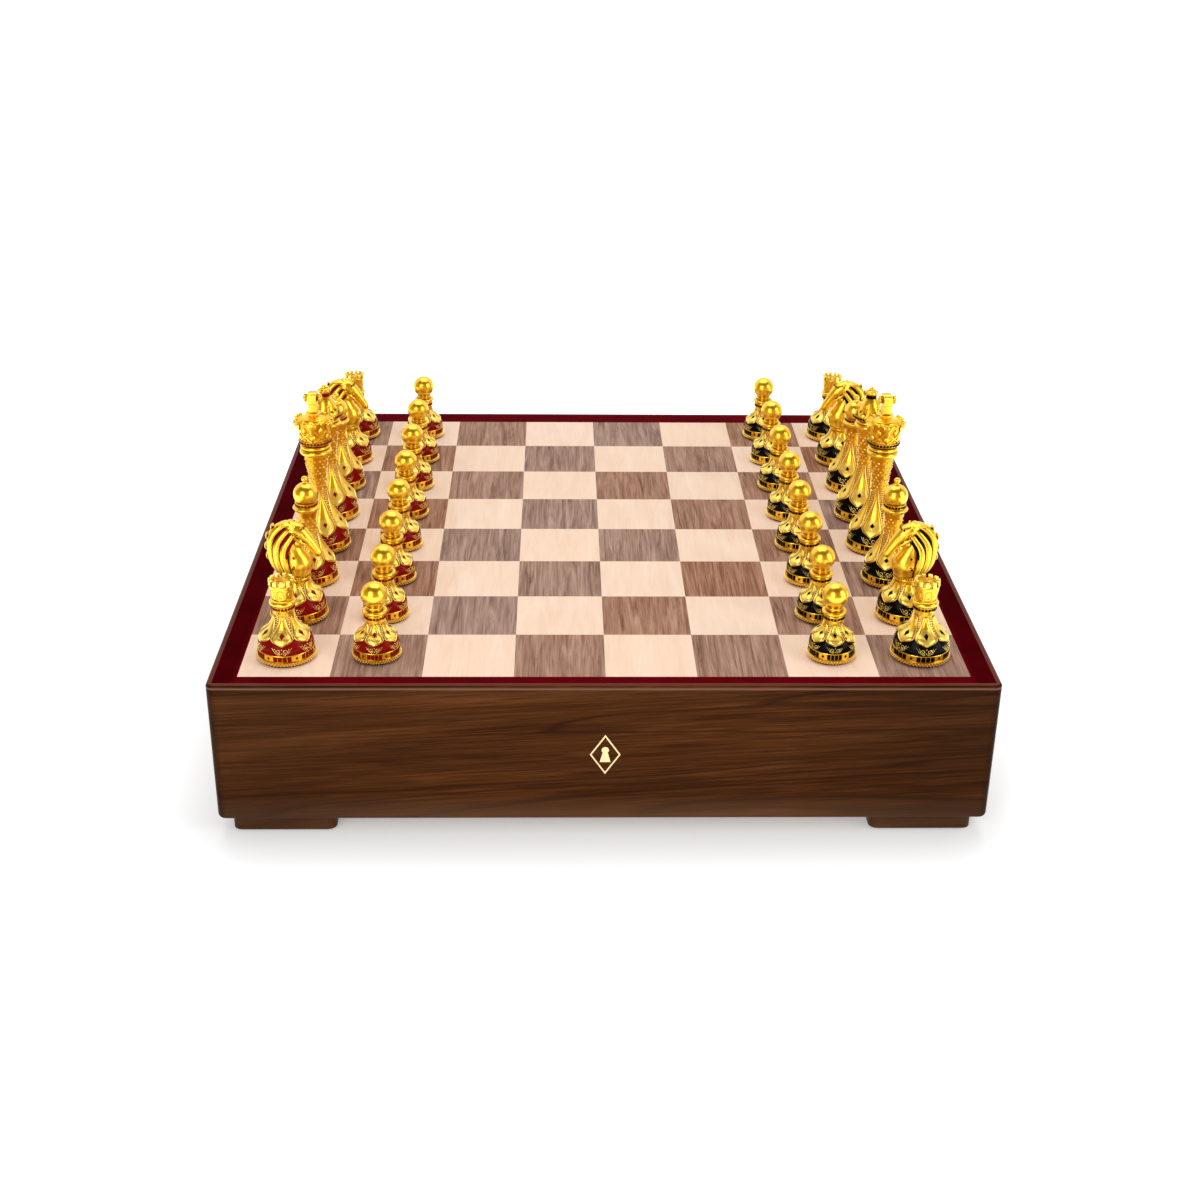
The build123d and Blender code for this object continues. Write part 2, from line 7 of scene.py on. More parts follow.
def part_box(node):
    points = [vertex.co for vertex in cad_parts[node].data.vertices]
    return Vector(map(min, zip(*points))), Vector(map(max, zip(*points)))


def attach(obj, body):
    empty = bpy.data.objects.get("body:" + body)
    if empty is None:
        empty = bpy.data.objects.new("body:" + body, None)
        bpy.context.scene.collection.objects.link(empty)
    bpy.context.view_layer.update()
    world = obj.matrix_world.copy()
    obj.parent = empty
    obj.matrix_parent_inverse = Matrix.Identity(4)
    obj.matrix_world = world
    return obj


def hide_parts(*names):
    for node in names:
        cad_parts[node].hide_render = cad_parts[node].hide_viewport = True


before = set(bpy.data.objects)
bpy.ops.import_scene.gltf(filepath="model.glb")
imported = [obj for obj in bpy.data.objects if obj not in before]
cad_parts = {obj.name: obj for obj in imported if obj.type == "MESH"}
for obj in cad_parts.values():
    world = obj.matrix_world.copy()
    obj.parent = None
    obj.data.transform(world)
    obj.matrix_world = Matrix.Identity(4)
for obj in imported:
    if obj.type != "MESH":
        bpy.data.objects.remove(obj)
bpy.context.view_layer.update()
mm = 0.001

board = {
    "square": 50.0,  # one playing square, mm
    "files": 8,
    "shift": -4.4,  # the squares lie a little nearer the front
}
fieldHalf = board["square"] * board["files"] / 2 * mm


# materials: the nodes that they share

def srgb(red, green, blue):
    # a colour picked as 0-255 on a screen, turned into the light values that a shader wants
    c = np.array([red, green, blue]) / 255.0
    return tuple(np.where(c <= 0.04045, c / 12.92, ((c + 0.055) / 1.055) ** 2.4))


def add(tree, kind, inputs=None, **settings):
    # one node, with its settings, and its inputs joined to a socket or set to a value
    made = tree.nodes.new(kind)
    for key, value in settings.items():
        setattr(made, key, value)
    for key, value in (inputs or {}).items():
        if isinstance(value, bpy.types.NodeSocket):
            tree.links.new(value, made.inputs[key])
        else:
            made.inputs[key].default_value = value
    return made


def startFinish(name, colour, rough, metal=0.0, shine=0.5):
    # a material with even values, and its node tree and shader for what is added to them
    mat = bpy.data.materials.new(name)
    mat.use_nodes = True
    shader = mat.node_tree.nodes["Principled BSDF"]
    shader.inputs["Base Color"].default_value = (*colour, 1)
    shader.inputs["Roughness"].default_value = rough
    shader.inputs["Metallic"].default_value = metal
    shader.inputs["Specular IOR Level"].default_value = shine
    return mat, mat.node_tree, shader


def objectPlace(tree):
    # the object's own coordinates in metres, which go with it when it moves
    return add(tree, "ShaderNodeTexCoord").outputs["Object"]


def ramp(tree, factor, stops):
    # a colour ramp through (place, colour) stops
    made = add(tree, "ShaderNodeValToRGB", {"Fac": factor})
    while len(made.color_ramp.elements) < len(stops):
        made.color_ramp.elements.new(0.5)
    for element, (place, colour) in zip(made.color_ramp.elements, stops):
        element.position = place
        element.color = (*colour, 1)
    return made.outputs["Color"]


def math(tree, operation, first, second=0.0, clamp=False):
    # the result of one sum on numbers
    settings = {"operation": operation, "use_clamp": clamp}
    return add(tree, "ShaderNodeMath", {0: first, 1: second}, **settings).outputs[0]


def product(tree, *factors):
    # the factors multiplied in turn
    result = factors[0]
    for factor in factors[1:]:
        result = math(tree, "MULTIPLY", result, factor)
    return result


def vector(tree, operation, *values, output=0):
    # the result of one sum on vectors
    return add(tree, "ShaderNodeVectorMath", dict(enumerate(values)), operation=operation).outputs[output]


def ranged(tree, value, source, target=(0.0, 1.0), **settings):
    # the value carried from the source pair of numbers to the target pair, and held at its ends
    return add(tree, "ShaderNodeMapRange", {
        "Value": value, "From Min": source[0], "From Max": source[1],
        "To Min": target[0], "To Max": target[1],
    }, **settings).outputs[0]


def stretched(tree, where, stretch, detail=4.0, twist=0.0, rough=0.55):
    # noise drawn out along the grain: few features along it and many across it, per metre
    placed = add(tree, "ShaderNodeMapping", {"Vector": where, "Scale": stretch})
    return add(tree, "ShaderNodeTexNoise", {
        "Vector": placed.outputs[0], "Scale": 1.0, "Detail": detail, "Roughness": rough, "Distortion": twist,
    }).outputs["Fac"]


def mixed(tree, factor, first, second):
    # sockets 0, 6 and 7 are the factor and the two colours of a Mix node
    return add(tree, "ShaderNodeMix", {0: factor, 6: first, 7: second}, data_type="RGBA").outputs[2]


def scaled(tree, colour, amount):
    # a colour times one number
    return add(tree, "ShaderNodeVectorMath", {0: colour, "Scale": amount}, operation="SCALE").outputs[0]


def paint(tree, shader, colour):
    # the colour becomes the shader's
    tree.links.new(colour, shader.inputs["Base Color"])


def clouded(tree, noise, colour, share, low, high):
    # the colour, darkened to a share of itself where the noise falls from high to low
    return ramp(tree, noise, [(low, tuple(share * c for c in colour)), (high, colour)])


def bump(tree, shader, height, depth, strength=1.0):
    # relief as deep as depth, in metres, where height goes from 0 to 1
    made = add(tree, "ShaderNodeBump", {"Height": height, "Distance": depth, "Strength": strength})
    tree.links.new(made.outputs[0], shader.inputs["Normal"])


# walnut of the case

caseWood = {
    "dark": srgb(58, 28, 8),
    "middle": srgb(86, 47, 19),
    "light": srgb(116, 69, 36),
    "streak": srgb(38, 19, 7),
    "streaks": ((0.43, 75.0), (0.53, 55.0)),  # the noise level that each set of lines follows, and how fine
    "edge": srgb(138, 96, 75), "edgeFrom": (0.0938, 0.0957),  # painted highlight along the rounded top edge
    "lip": srgb(102, 49, 37), "lipFrom": (0.0964, 0.0966),  # and a painted highlight on the narrow flat inside it
    "ends": (0.10, 0.18), "endTone": 0.64,  # painted shade, darker towards the ends of each wall
    "under": (0.087, 0.0925), "underTone": 0.66,  # painted shade in a narrow band below the edge
    "corner": (0.2105, 0.2155), "cornerTone": 0.35,  # painted shade on the rounded upright corners
    "skirt": srgb(120, 86, 62), "skirtFrom": (0.028, 0.015), "skirtShare": 0.4,  # painted reflection of the floor, paler at the foot
    "broad": (40.0, 2.2),  # grain features per metre, across and along the grain
    "fibre": (1500.0, 30.0),
    "line": (24.0, 1.1), "lineDepth": 1.3,
    "broadShare": 0.5, "toneAt": (0.35, 0.50, 0.65),  # of the grain's sum, where each tone is full
    "slant": 0.06,  # how far the grain climbs for each metre along the board
    "gloss": 0.30, "shine": 0.03, "pores": 0.00003,
}


def along(axis, across, lengthways):
    # the scale lengthways on the grain's own axis, and the scale across on the other two
    return tuple(lengthways if name == axis else across for name in "XYZ")


def grainColour(tree, broad, fibre, wood):
    # the broad grain and the fibres, added by their shares, look up the tone between dark and light
    both = math(tree, "ADD", product(tree, broad, wood.broadShare), product(tree, fibre, 1 - wood.broadShare))
    return ramp(tree, both, list(zip(wood.toneAt, (wood.dark, wood.middle, wood.light))))


def makeCaseWood(name, axis):
    # the grain's colour, darkened in lines where a drawn-out noise crosses two levels, then by place:
    # painted shade at the ends, the corners and below the edge, a painted floor reflection at the foot,
    # painted highlights on the edge and the lip
    w = SimpleNamespace(**caseWood)
    mat, tree, shader = startFinish(name, w.middle, w.gloss, shine=w.shine)
    where = objectPlace(tree)
    tilt = (0.0, w.slant, 0.0) if axis == "X" else (w.slant, 0.0, 0.0)
    sloped = add(tree, "ShaderNodeMapping", {"Vector": where, "Rotation": tilt}).outputs[0]
    broad = stretched(tree, sloped, along(axis, *w.broad), 4.0, 0.8)
    fibre = stretched(tree, sloped, along(axis, *w.fibre), 4.0, 0.2)
    wander = stretched(tree, sloped, along(axis, *w.line), 3.0, 0.35)
    colour = grainColour(tree, broad, fibre, w)
    for level, sharp in w.streaks:
        apart = math(tree, "ABSOLUTE", math(tree, "SUBTRACT", wander, level))
        line = math(tree, "SUBTRACT", 1.0, math(tree, "MULTIPLY", apart, sharp, True), True)
        faded = product(tree, line, math(tree, "MULTIPLY", fibre, w.lineDepth, True))
        colour = mixed(tree, faded, colour, (*w.streak, 1))
    place = add(tree, "ShaderNodeSeparateXYZ", {0: vector(tree, "ABSOLUTE", where)}).outputs
    nearer, height = math(tree, "MINIMUM", place["X"], place["Y"]), place["Z"]
    # painted shade: darker on the rounded corners, towards the ends of each wall and in a band below the edge
    shadeBands = ((nearer, w.corner, w.cornerTone), (nearer, w.ends, w.endTone), (height, w.under, w.underTone))
    tone = product(tree, *(ranged(tree, value, source, (1.0, least)) for value, source, least in shadeBands))
    # painted reflection of the floor: the wood paler and greyer towards the foot
    colour = mixed(tree, ranged(tree, height, w.skirtFrom, (0.0, w.skirtShare)), colour, (*w.skirt, 1))
    colour = scaled(tree, colour, tone)
    # painted highlight: a pale band along the rounded top edge, fading out above and below its middle
    low, high = w.edgeFrom
    middle = (low + high) / 2
    edgeHighlight = product(tree, ranged(tree, height, (low, middle)), ranged(tree, height, (high, middle)))
    colour = mixed(tree, edgeHighlight, colour, (*w.edge, 1))
    # painted highlight on the narrow flat of the lip
    paint(tree, shader, mixed(tree, ranged(tree, height, w.lipFrom), colour, (*w.lip, 1)))
    bump(tree, shader, fibre, w.pores)
    return mat


# veneer of the playing squares

squareWood = {
    "light": {
        "dark": srgb(243, 208, 179), "middle": srgb(250, 218, 192), "light": srgb(254, 227, 204),
        "broad": (110.0, 14.0), "fibre": (1500.0, 60.0), "greyed": 0.10,
    },
    "dark": {
        "dark": srgb(106, 68, 47), "middle": srgb(164, 119, 94), "light": srgb(200, 156, 130),
        "broad": (260.0, 16.0), "fibre": (1300.0, 45.0), "greyed": 0.30,  # most that a square is greyed by
    },
    "broadShare": 0.62, "toneAt": (0.32, 0.50, 0.68),
    "gloss": 0.22, "shine": 0.001, "pores": 0.00001,
    "spread": 9.0,  # metres that the grain of one square may lie from the next one's
}


def makeSquareWood(name, wood):
    # each square draws its own grain and greyness from a number that belongs to its place on the board
    w = SimpleNamespace(**{**squareWood, **wood})
    mat, tree, shader = startFinish(name, w.middle, w.gloss, shine=w.shine)
    where = objectPlace(tree)
    moved = vector(tree, "ADD", where, (fieldHalf, fieldHalf - board["shift"] * mm, 0.0))
    scale = 1 / (board["square"] * mm)
    cell = vector(tree, "FLOOR", vector(tree, "MULTIPLY", moved, (scale, scale, 0.0)))
    chance = add(tree, "ShaderNodeTexWhiteNoise", {"Vector": cell}, noise_dimensions="3D").outputs
    own = vector(tree, "MULTIPLY_ADD", chance["Color"], (w.spread,) * 3, where)
    broad = stretched(tree, own, along("Y", *w.broad), 5.0, 1.1, 0.6)
    fibre = stretched(tree, own, along("Y", *w.fibre), 4.0, 0.3, 0.6)
    colour = grainColour(tree, broad, fibre, w)
    fullness = math(tree, "SUBTRACT", 1.0, product(tree, chance["Value"], w.greyed))
    grey = add(tree, "ShaderNodeHueSaturation", {"Saturation": fullness, "Color": colour})
    paint(tree, shader, grey.outputs[0])
    bump(tree, shader, fibre, w.pores)
    return mat


# the other finishes of the box

boxFinish = {
    "maroon": srgb(100, 5, 14), "maroonGloss": 0.2, "maroonShine": 0.0005,
    "cloud": 30.0, "cloudTone": 0.72,  # clouds per metre, and how deep they are
    "sideTone": 0.55, "sideOver": 0.003,  # painted shade: the strips at the two ends are darker
    "inlay": srgb(240, 214, 160), "inlayGloss": 0.3,
    "ply": srgb(196, 162, 118),
    "beech": srgb(206, 164, 120),
    "plainGrain": (420.0, 12.0), "plainGloss": 0.55, "plainTone": 0.62, "plainPores": 0.00004,
    "velvet": srgb(70, 8, 16), "velvetPile": 2400.0,  # tufts per metre
    "felt": srgb(24, 40, 30), "feltPile": 1800.0,
    "pileRough": 0.95, "pileTone": 0.5, "pileDepth": 0.0003, "sheen": 0.5, "sheenRough": 0.4,
    "steel": srgb(168, 170, 172), "steelGloss": 0.28,
    "brushed": (600.0, 600.0, 60.0), "brushedShares": (0.7, 1.3),  # the gloss wanders between these shares
}


def makeLacquer(name):
    # deep colour with a faint cloudiness, and painted shade that darkens the strips at the two ends
    b = SimpleNamespace(**boxFinish)
    mat, tree, shader = startFinish(name, b.maroon, b.maroonGloss, shine=b.maroonShine)
    where = objectPlace(tree)
    colour = clouded(tree, stretched(tree, where, (b.cloud,) * 3, 3.0), b.maroon, b.cloudTone, 0.35, 0.65)
    # painted shade on the strips at the two ends
    apart = math(tree, "ABSOLUTE", add(tree, "ShaderNodeSeparateXYZ", {0: where}).outputs["X"])
    sideways = ranged(tree, apart, (fieldHalf, fieldHalf + b.sideOver), (1.0, b.sideTone))
    paint(tree, shader, scaled(tree, colour, sideways))
    return mat


def makePlainWood(name, colour, axis):
    # a pale working wood with straight soft grain
    b = SimpleNamespace(**boxFinish)
    mat, tree, shader = startFinish(name, colour, b.plainGloss)
    grain = stretched(tree, objectPlace(tree), along(axis, *b.plainGrain), 4.0, 0.4)
    paint(tree, shader, clouded(tree, grain, colour, b.plainTone, 0.34, 0.62))
    bump(tree, shader, grain, b.plainPores)
    return mat


def makePile(name, colour, fine):
    # short cloth pile: speckled colour, a soft sheen and a rough bump
    b = SimpleNamespace(**boxFinish)
    mat, tree, shader = startFinish(name, colour, b.pileRough)
    shader.inputs["Sheen Weight"].default_value = b.sheen
    shader.inputs["Sheen Roughness"].default_value = b.sheenRough
    speck = stretched(tree, objectPlace(tree), (fine,) * 3, 3.0)
    paint(tree, shader, clouded(tree, speck, colour, b.pileTone, 0.35, 0.65))
    bump(tree, shader, speck, b.pileDepth)
    return mat


def wornMetal(name, colour, rough, fine, least, most):
    # bright metal whose roughness wanders between two shares of itself
    mat, tree, shader = startFinish(name, colour, rough, metal=1.0)
    where = objectPlace(tree)
    spread = ranged(tree, stretched(tree, where, fine, 3.0), (0.0, 1.0), (least * rough, most * rough))
    tree.links.new(spread, shader.inputs["Roughness"])
    return mat, tree, shader, where


def makeMetal(name, kind):
    # brushed lengthways
    gloss, brushed, shares = (boxFinish[key] for key in (kind + "Gloss", "brushed", "brushedShares"))
    return wornMetal(name, boxFinish[kind], gloss, brushed, *shares)[0]


woodX = makeCaseWood("walnutAlongX", "X")
woodY = makeCaseWood("walnutAlongY", "Y")
lightSquares = makeSquareWood("paleSquares", squareWood["light"])
darkSquares = makeSquareWood("walnutSquares", squareWood["dark"])
maroon = makeLacquer("maroonLacquer")
ply = makePlainWood("plywood", boxFinish["ply"], "X")
beech = makePlainWood("beech", boxFinish["beech"], "X")
velvet = makePile("drawerVelvet", boxFinish["velvet"], boxFinish["velvetPile"])
padFelt = makePile("padFelt", boxFinish["felt"], boxFinish["feltPile"])
steel = makeMetal("brightSteel", "steel")
inlay = makeMetal("paleInlay", "inlay")

boxNodes = {
    "front_panel": woodX, "back_panel": woodX, "left_end_wall": woodY, "right_end_wall": woodY,
    "feet": woodX, "board_core": ply, "base_panel": ply, "centre_partition": ply,
    "light_squares": lightSquares, "dark_squares": darkSquares, "border_strips": maroon,
    "drawer_runners": beech, "catch_magnets": steel, "foot_pads": padFelt, "foot_screws": steel,
    "emblem_inlay": inlay,
}
drawerParts = {
    "front": woodY, "sides": beech, "back": beech, "bottom": ply, "lining": velvet, "strikes": steel,
}
for side in ("left", "right"):
    boxNodes.update({f"{side}_drawer_{part}": mat for part, mat in drawerParts.items()})
for name, mat in boxNodes.items():
    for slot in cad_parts[name].material_slots:
        slot.material = mat
print("box finishes on", len(boxNodes), "nodes")


# small forms and how they are laid on a turned piece, all in mm

polished, cast, enamel, underFelt, satinShade, paleHighlight = range(6)  # the material slots of every piece; satin is darker gold for painted shade and pale is paler gold for painted highlights


def evenly(count, offset=0.0):
    # angles spread evenly round the axis, moved on by a share of one step
    return (np.arange(count) + offset) * 2 * np.pi / count


def polar(radius, angle, middle=(0.0, 0.0)):
    # points at a distance and an angle from a middle
    return np.column_stack([middle[0] + radius * np.cos(angle), middle[1] + radius * np.sin(angle)])


def stacked(*axes):
    # x, y and z, each broadcast to the largest of them, as points
    return np.stack(np.broadcast_arrays(*axes), -1)


def unit(rows):
    # each row divided by its length
    return rows / np.linalg.norm(rows, axis=-1, keepdims=True)


def standingOff(path, hand=1.0):
    # the direction that stands off a path in the XZ plane: its course crossed with the Y axis
    return np.cross(np.gradient(path, axis=0), (0.0, hand, 0.0))


def ringsOf(points, colours):
    # points[row, place] are closed rings; neighbours are joined, and a fan closes each end ring
    rows, around = points.shape[:2]
    here = np.arange(rows * around).reshape(rows, around)
    beside = np.roll(here, -1, axis=1)
    low, high = np.full(around, rows * around), np.full(around, rows * around + 1)
    perRow = np.broadcast_to(colours, (rows - 1,))
    return {
        "verts": np.concatenate([points.reshape(-1, 3), points[[0, -1]].mean(axis=1)]),
        "quads": np.stack([here[:-1], beside[:-1], beside[1:], here[1:]], -1).reshape(-1, 4),
        "tris": np.concatenate([np.column_stack([low, beside[0], here[0]]),
                                np.column_stack([high, here[-1], beside[-1]])]),
        "quadColours": np.repeat(perRow, around),
        "triColours": np.repeat(perRow[[0, -1]], around),
    }


def joined(shells):
    # several forms as one: the faces of each count on from the points before it
    starts = np.cumsum([0] + [len(shell["verts"]) for shell in shells[:-1]])
    whole = {key: np.concatenate([shell[key] for shell in shells]) for key in shells[0]}
    for faces in ("quads", "tris"):
        whole[faces] += np.repeat(starts, [len(shell[faces]) for shell in shells])[:, None]
    return whole


def copies(shell, sets):
    # the form once for each set of points
    return joined([{**shell, "verts": points} for points in sets])


def shifted(shell, places):
    # a copy of the form at each of the places (x, y) or (x, y, z), or at a single one
    places = np.atleast_2d(places)
    places = np.column_stack([places, np.zeros((len(places), 3 - places.shape[1]))])
    return copies(shell, places[:, None] + shell["verts"])


def facing(shell, places, sideways):
    # copies whose x lies along a level direction at each place; y points up and z stands out
    places = np.atleast_2d(places)
    sideways = np.broadcast_to(sideways, places.shape)[:, None]
    x, y, z = (shell["verts"][None, :, k, None] for k in range(3))
    up = np.array([0.0, 0.0, 1.0])
    return copies(shell, places[:, None] + x * sideways + y * up + z * np.cross(sideways, up))


def aboutAxis(shell, angles):
    # copies turned about the piece's own axis
    cos, sin = np.cos(angles)[:, None], np.sin(angles)[:, None]
    x, y, z = shell["verts"].T
    return copies(shell, stacked(x * cos - y * sin, x * sin + y * cos, z))


def wrapped(shell, side, angles):
    # a flat form (x round the piece, y its height, z out of the surface) bent onto the turned side
    x, y, out = shell["verts"].T
    radius = np.interp(y, side[:, 1], side[:, 0])
    slope = np.interp(y, side[:, 1], np.gradient(side[:, 0], side[:, 1]))
    long = np.sqrt(1 + slope**2)
    turn = np.asarray(angles)[:, None] + x / radius
    reach = radius + out / long
    return copies(shell, stacked(reach * np.cos(turn), reach * np.sin(turn), y - out * slope / long))


def stud(edge, steps, colours):
    # an edge (x, y) carried outwards in steps of (scale, height)
    rows = [np.column_stack([edge * scale, np.full(len(edge), height)]) for scale, height in steps]
    return ringsOf(np.stack(rows), colours)


def rounded(width, height, points=12, square=0.4):
    # a superellipse: cosine and sine raised to a power, so that its corners are rounded
    turn = evenly(points, 0.5)
    cos, sin = np.cos(turn), np.sin(turn)
    return np.column_stack([width / 2 * np.sign(cos) * np.abs(cos) ** square,
                            height / 2 * np.sign(sin) * np.abs(sin) ** square])


def lozenge(width, height):
    # four corners, two on each axis
    return np.array([(width / 2, 0), (0, height / 2), (-width / 2, 0), (0, -height / 2)])


def bead(radius, points=6, colour=polished):
    # half a ball that stands on the surface
    steps = [(1.0, -0.25 * radius), (0.94, 0.42 * radius), (0.5, 0.88 * radius)]
    return stud(rounded(2 * radius, 2 * radius, points, 1.0), steps, colour)


def turnedForm(profile, colours, around):
    # the outline (radius, height), drawn upwards, turned about Z
    turn = evenly(around)
    radius, height = profile[:, :1], profile[:, 1:]
    return ringsOf(stacked(radius * np.cos(turn), radius * np.sin(turn), height), colours)


def ball(radius, around, rows, stretch=(1.0, 1.0, 1.0)):
    # radius times the cosine and sine of the height angle, turned about Z and stretched
    rise = np.linspace(0.06 - 0.5 * np.pi, 0.5 * np.pi - 0.06, rows)
    shell = turnedForm(polar(radius, rise), polished, around)
    return {**shell, "verts": shell["verts"] * stretch}


def wire(path, thick, points=5, colour=polished):
    # a round wire along a flat path: at each point a ring in the plane across it
    ahead = unit(np.gradient(path, axis=0))
    left = np.column_stack([-ahead[:, 1], ahead[:, 0]])
    turn = evenly(points)
    wide = np.broadcast_to(thick, (len(path),))[:, None]
    flat = path[:, None, :] + (np.cos(turn) * wide)[..., None] * left[:, None, :]
    return ringsOf(np.concatenate([flat, (np.sin(turn) * wide)[..., None]], -1), colour)


def rope(path, wide, deep, out, points=8, colour=polished):
    # an oval carried along a path in space; deep lies along out, wide across it
    ahead, out = unit(np.gradient(path, axis=0)), np.asarray(out)
    out = unit(out - (out * ahead).sum(1, keepdims=True) * ahead)
    across = np.cross(ahead, out)
    wide, deep = (np.broadcast_to(size, (len(path),))[:, None, None] for size in (wide, deep))
    cos, sin = (wave(evenly(points))[None, :, None] for wave in (np.cos, np.sin))
    return ringsOf(path[:, None] + cos * deep * out[:, None] + sin * wide * across[:, None], colour)


def comb(n, k):
    # in how many ways k things can be taken out of n
    return np.prod(np.arange(n - k + 1, n + 1)) / np.prod(np.arange(1, k + 1)) if k else 1.0


def bend(points, count):
    # a smooth curve drawn towards the points in turn: each weighs in by a Bernstein polynomial
    points = np.asarray(points, float)
    t = np.linspace(0, 1, count)[:, None]
    order = len(points) - 1
    weights = [comb(order, k) * t**k * (1 - t) ** (order - k) for k in range(order + 1)]
    return sum(weight * point for weight, point in zip(weights, points))


def through(points, count):
    # a smooth curve through the points: cubic stretches whose end slopes follow the neighbours
    points = np.asarray(points, float)
    slopes = np.gradient(points, axis=0)
    place = np.linspace(0, len(points) - 1, count)
    stretch = np.minimum(place.astype(int), len(points) - 2)
    t = (place - stretch)[:, None]
    return ((2 * t**3 - 3 * t**2 + 1) * points[stretch] + (t**3 - 2 * t**2 + t) * slopes[stretch]
            + (3 * t**2 - 2 * t**3) * points[stretch + 1] + (t**3 - t**2) * slopes[stretch + 1])


def curl(centre, fromRadius, toRadius, fromAngle, turns, count=16):
    # a spiral about centre whose radius shrinks evenly
    t = np.linspace(0, 1, count)
    return polar(fromRadius + (toRadius - fromRadius) * t, fromAngle + turns * 2 * np.pi * t, centre)


def arc(start, middle, end, count):
    # points on the circle through three points (radius, height)
    a, b, c = (np.asarray(p, float) for p in (start, middle, end))
    d = 2 * (a[0] * (b[1] - c[1]) + b[0] * (c[1] - a[1]) + c[0] * (a[1] - b[1]))
    squares = [p @ p for p in (a, b, c)]
    centre = np.array([
        squares[0] * (b[1] - c[1]) + squares[1] * (c[1] - a[1]) + squares[2] * (a[1] - b[1]),
        squares[0] * (c[0] - b[0]) + squares[1] * (a[0] - c[0]) + squares[2] * (b[0] - a[0]),
    ]) / d
    first, mid, last = (np.arctan2(*(p - centre)[::-1]) for p in (a, b, c))
    mid = first + (mid - first + np.pi) % (2 * np.pi) - np.pi
    last = mid + (last - mid + np.pi) % (2 * np.pi) - np.pi
    return polar(np.linalg.norm(a - centre), np.linspace(first, last, count), centre)


def line(*points, count=2):
    # straight stretches through the points, each with count points, its ends among them
    points = np.asarray(points, float)
    t = np.linspace(0, len(points) - 1, (len(points) - 1) * (count - 1) + 1)
    return np.column_stack([np.interp(t, np.arange(len(points)), points[:, k]) for k in (0, 1)])


def halfRound(radius, low, height, root, count=9):
    # an arc from the root out to the radius, half way up, and back to the root
    return arc((root, low), (radius, low + height / 2), (root, low + height), count)


def outline(*stretches):
    # stretches set one above the other, the polished ones plain and others as (colour, points); each face
    # takes its lower point's colour
    pairs = [part if isinstance(part, tuple) else (polished, part) for part in stretches]
    points = np.concatenate([points for _, points in pairs])
    colours = np.concatenate([np.full(len(points), colour) for colour, points in pairs])
    return points, colours[1:]


# the foot that every piece stands on

footSizes = {
    "felt": 1.0, "feltIn": 1.2,
    "rimTop": 3.4, "rimRound": 0.8,
    "bandTop": 7.4, "bandStep": 0.7,
    "bulge": 0.8, "bellRows": 14,
    "near": 0.34,  # when the sweep has risen by this share, this share of its overhang is left
    "petals": 6,
    "belt": 2.0, "dotShare": 0.70,  # the share of a belt that its enamel squares take up
    "rimBeads": 54, "rimBeadRadius": 0.5, "rimBeadLevels": (1.75, 2.65),
    "blocks": 4, "blockPitch": 9.7, "blockWide": 0.86,  # degrees from one to the next, share that is enamel
    "blockTall": 3.0, "pip": (1.6, 2.0),  # and the lozenge between the groups of blocks
    "petalRows": 20, "petalPoint": 1.3, "petalDent": 0.035,  # rows, and the outline's power and sine
    "petalGap": 0.08, "petalClose": 1.2,  # left free at each side, and the height over which its top closes
    "petalLift": 0.50,  # how far it stands out
    "petalRidge": (0.26, 0.5, 0.34), "petalSunk": (0.30, 1.14, 0.3),  # height, distance from the edge, width
    "beadStep": 2.15, "latticeStep": 2.75,  # bead radii from one bead to the next
    "turn": np.pi / 6,  # one petal looks straight at the front
}
foot = SimpleNamespace(**footSizes)


def footOf(p):
    # rim, band and enamelled bell, then the sweep to the waist; p holds the piece's own sizes
    base, band = p.base, p.base - foot.bandStep
    shoulder = foot.bandTop + p.shoulderRise
    waist = shoulder + p.waistRise
    bell = arc((band, foot.bandTop), ((band + p.shoulder) / 2 + foot.bulge, (foot.bandTop + shoulder) / 2),
               (p.shoulder, shoulder), foot.bellRows)
    sweep = arc((p.shoulder, shoulder),
                (p.waist + (p.shoulder - p.waist) * foot.near, shoulder + p.waistRise * foot.near),
                (p.waist, waist), p.sweepRows)
    r, low = foot.rimRound, foot.felt
    cut = max(1, int(np.sum(sweep[:, 1] < p.petalValley + 0.1)))  # the enamel ends under the petals
    stretches = [
        (underFelt, line((base - foot.feltIn, 0.02), (base - foot.feltIn, low))),
        # painted shade: the rim's rounded side in darker satin gold
        (satinShade, arc((base - r, low), (base - 0.29 * r, low + 0.29 * r), (base, low + r), 4)),
        (satinShade, line((base, low + r), (base, foot.rimTop - 0.25))),
        line((base - 0.25, foot.rimTop), (band, foot.rimTop)),
        line((band, foot.rimTop), (band, foot.bandTop - 0.55), count=3),
        halfRound(band + 0.28, foot.bandTop - 0.55, 0.5, band, 5),
        (enamel, np.concatenate([bell, sweep[1:cut]])),
        (satinShade, sweep[cut:]),
    ]
    side = np.concatenate([line((band, foot.rimTop), (band, foot.bandTop - 0.01)), bell, sweep[1:],
                           line((p.waist, waist + 0.01), (p.neckRadius, waist + p.neck))])
    return stretches, side, waist


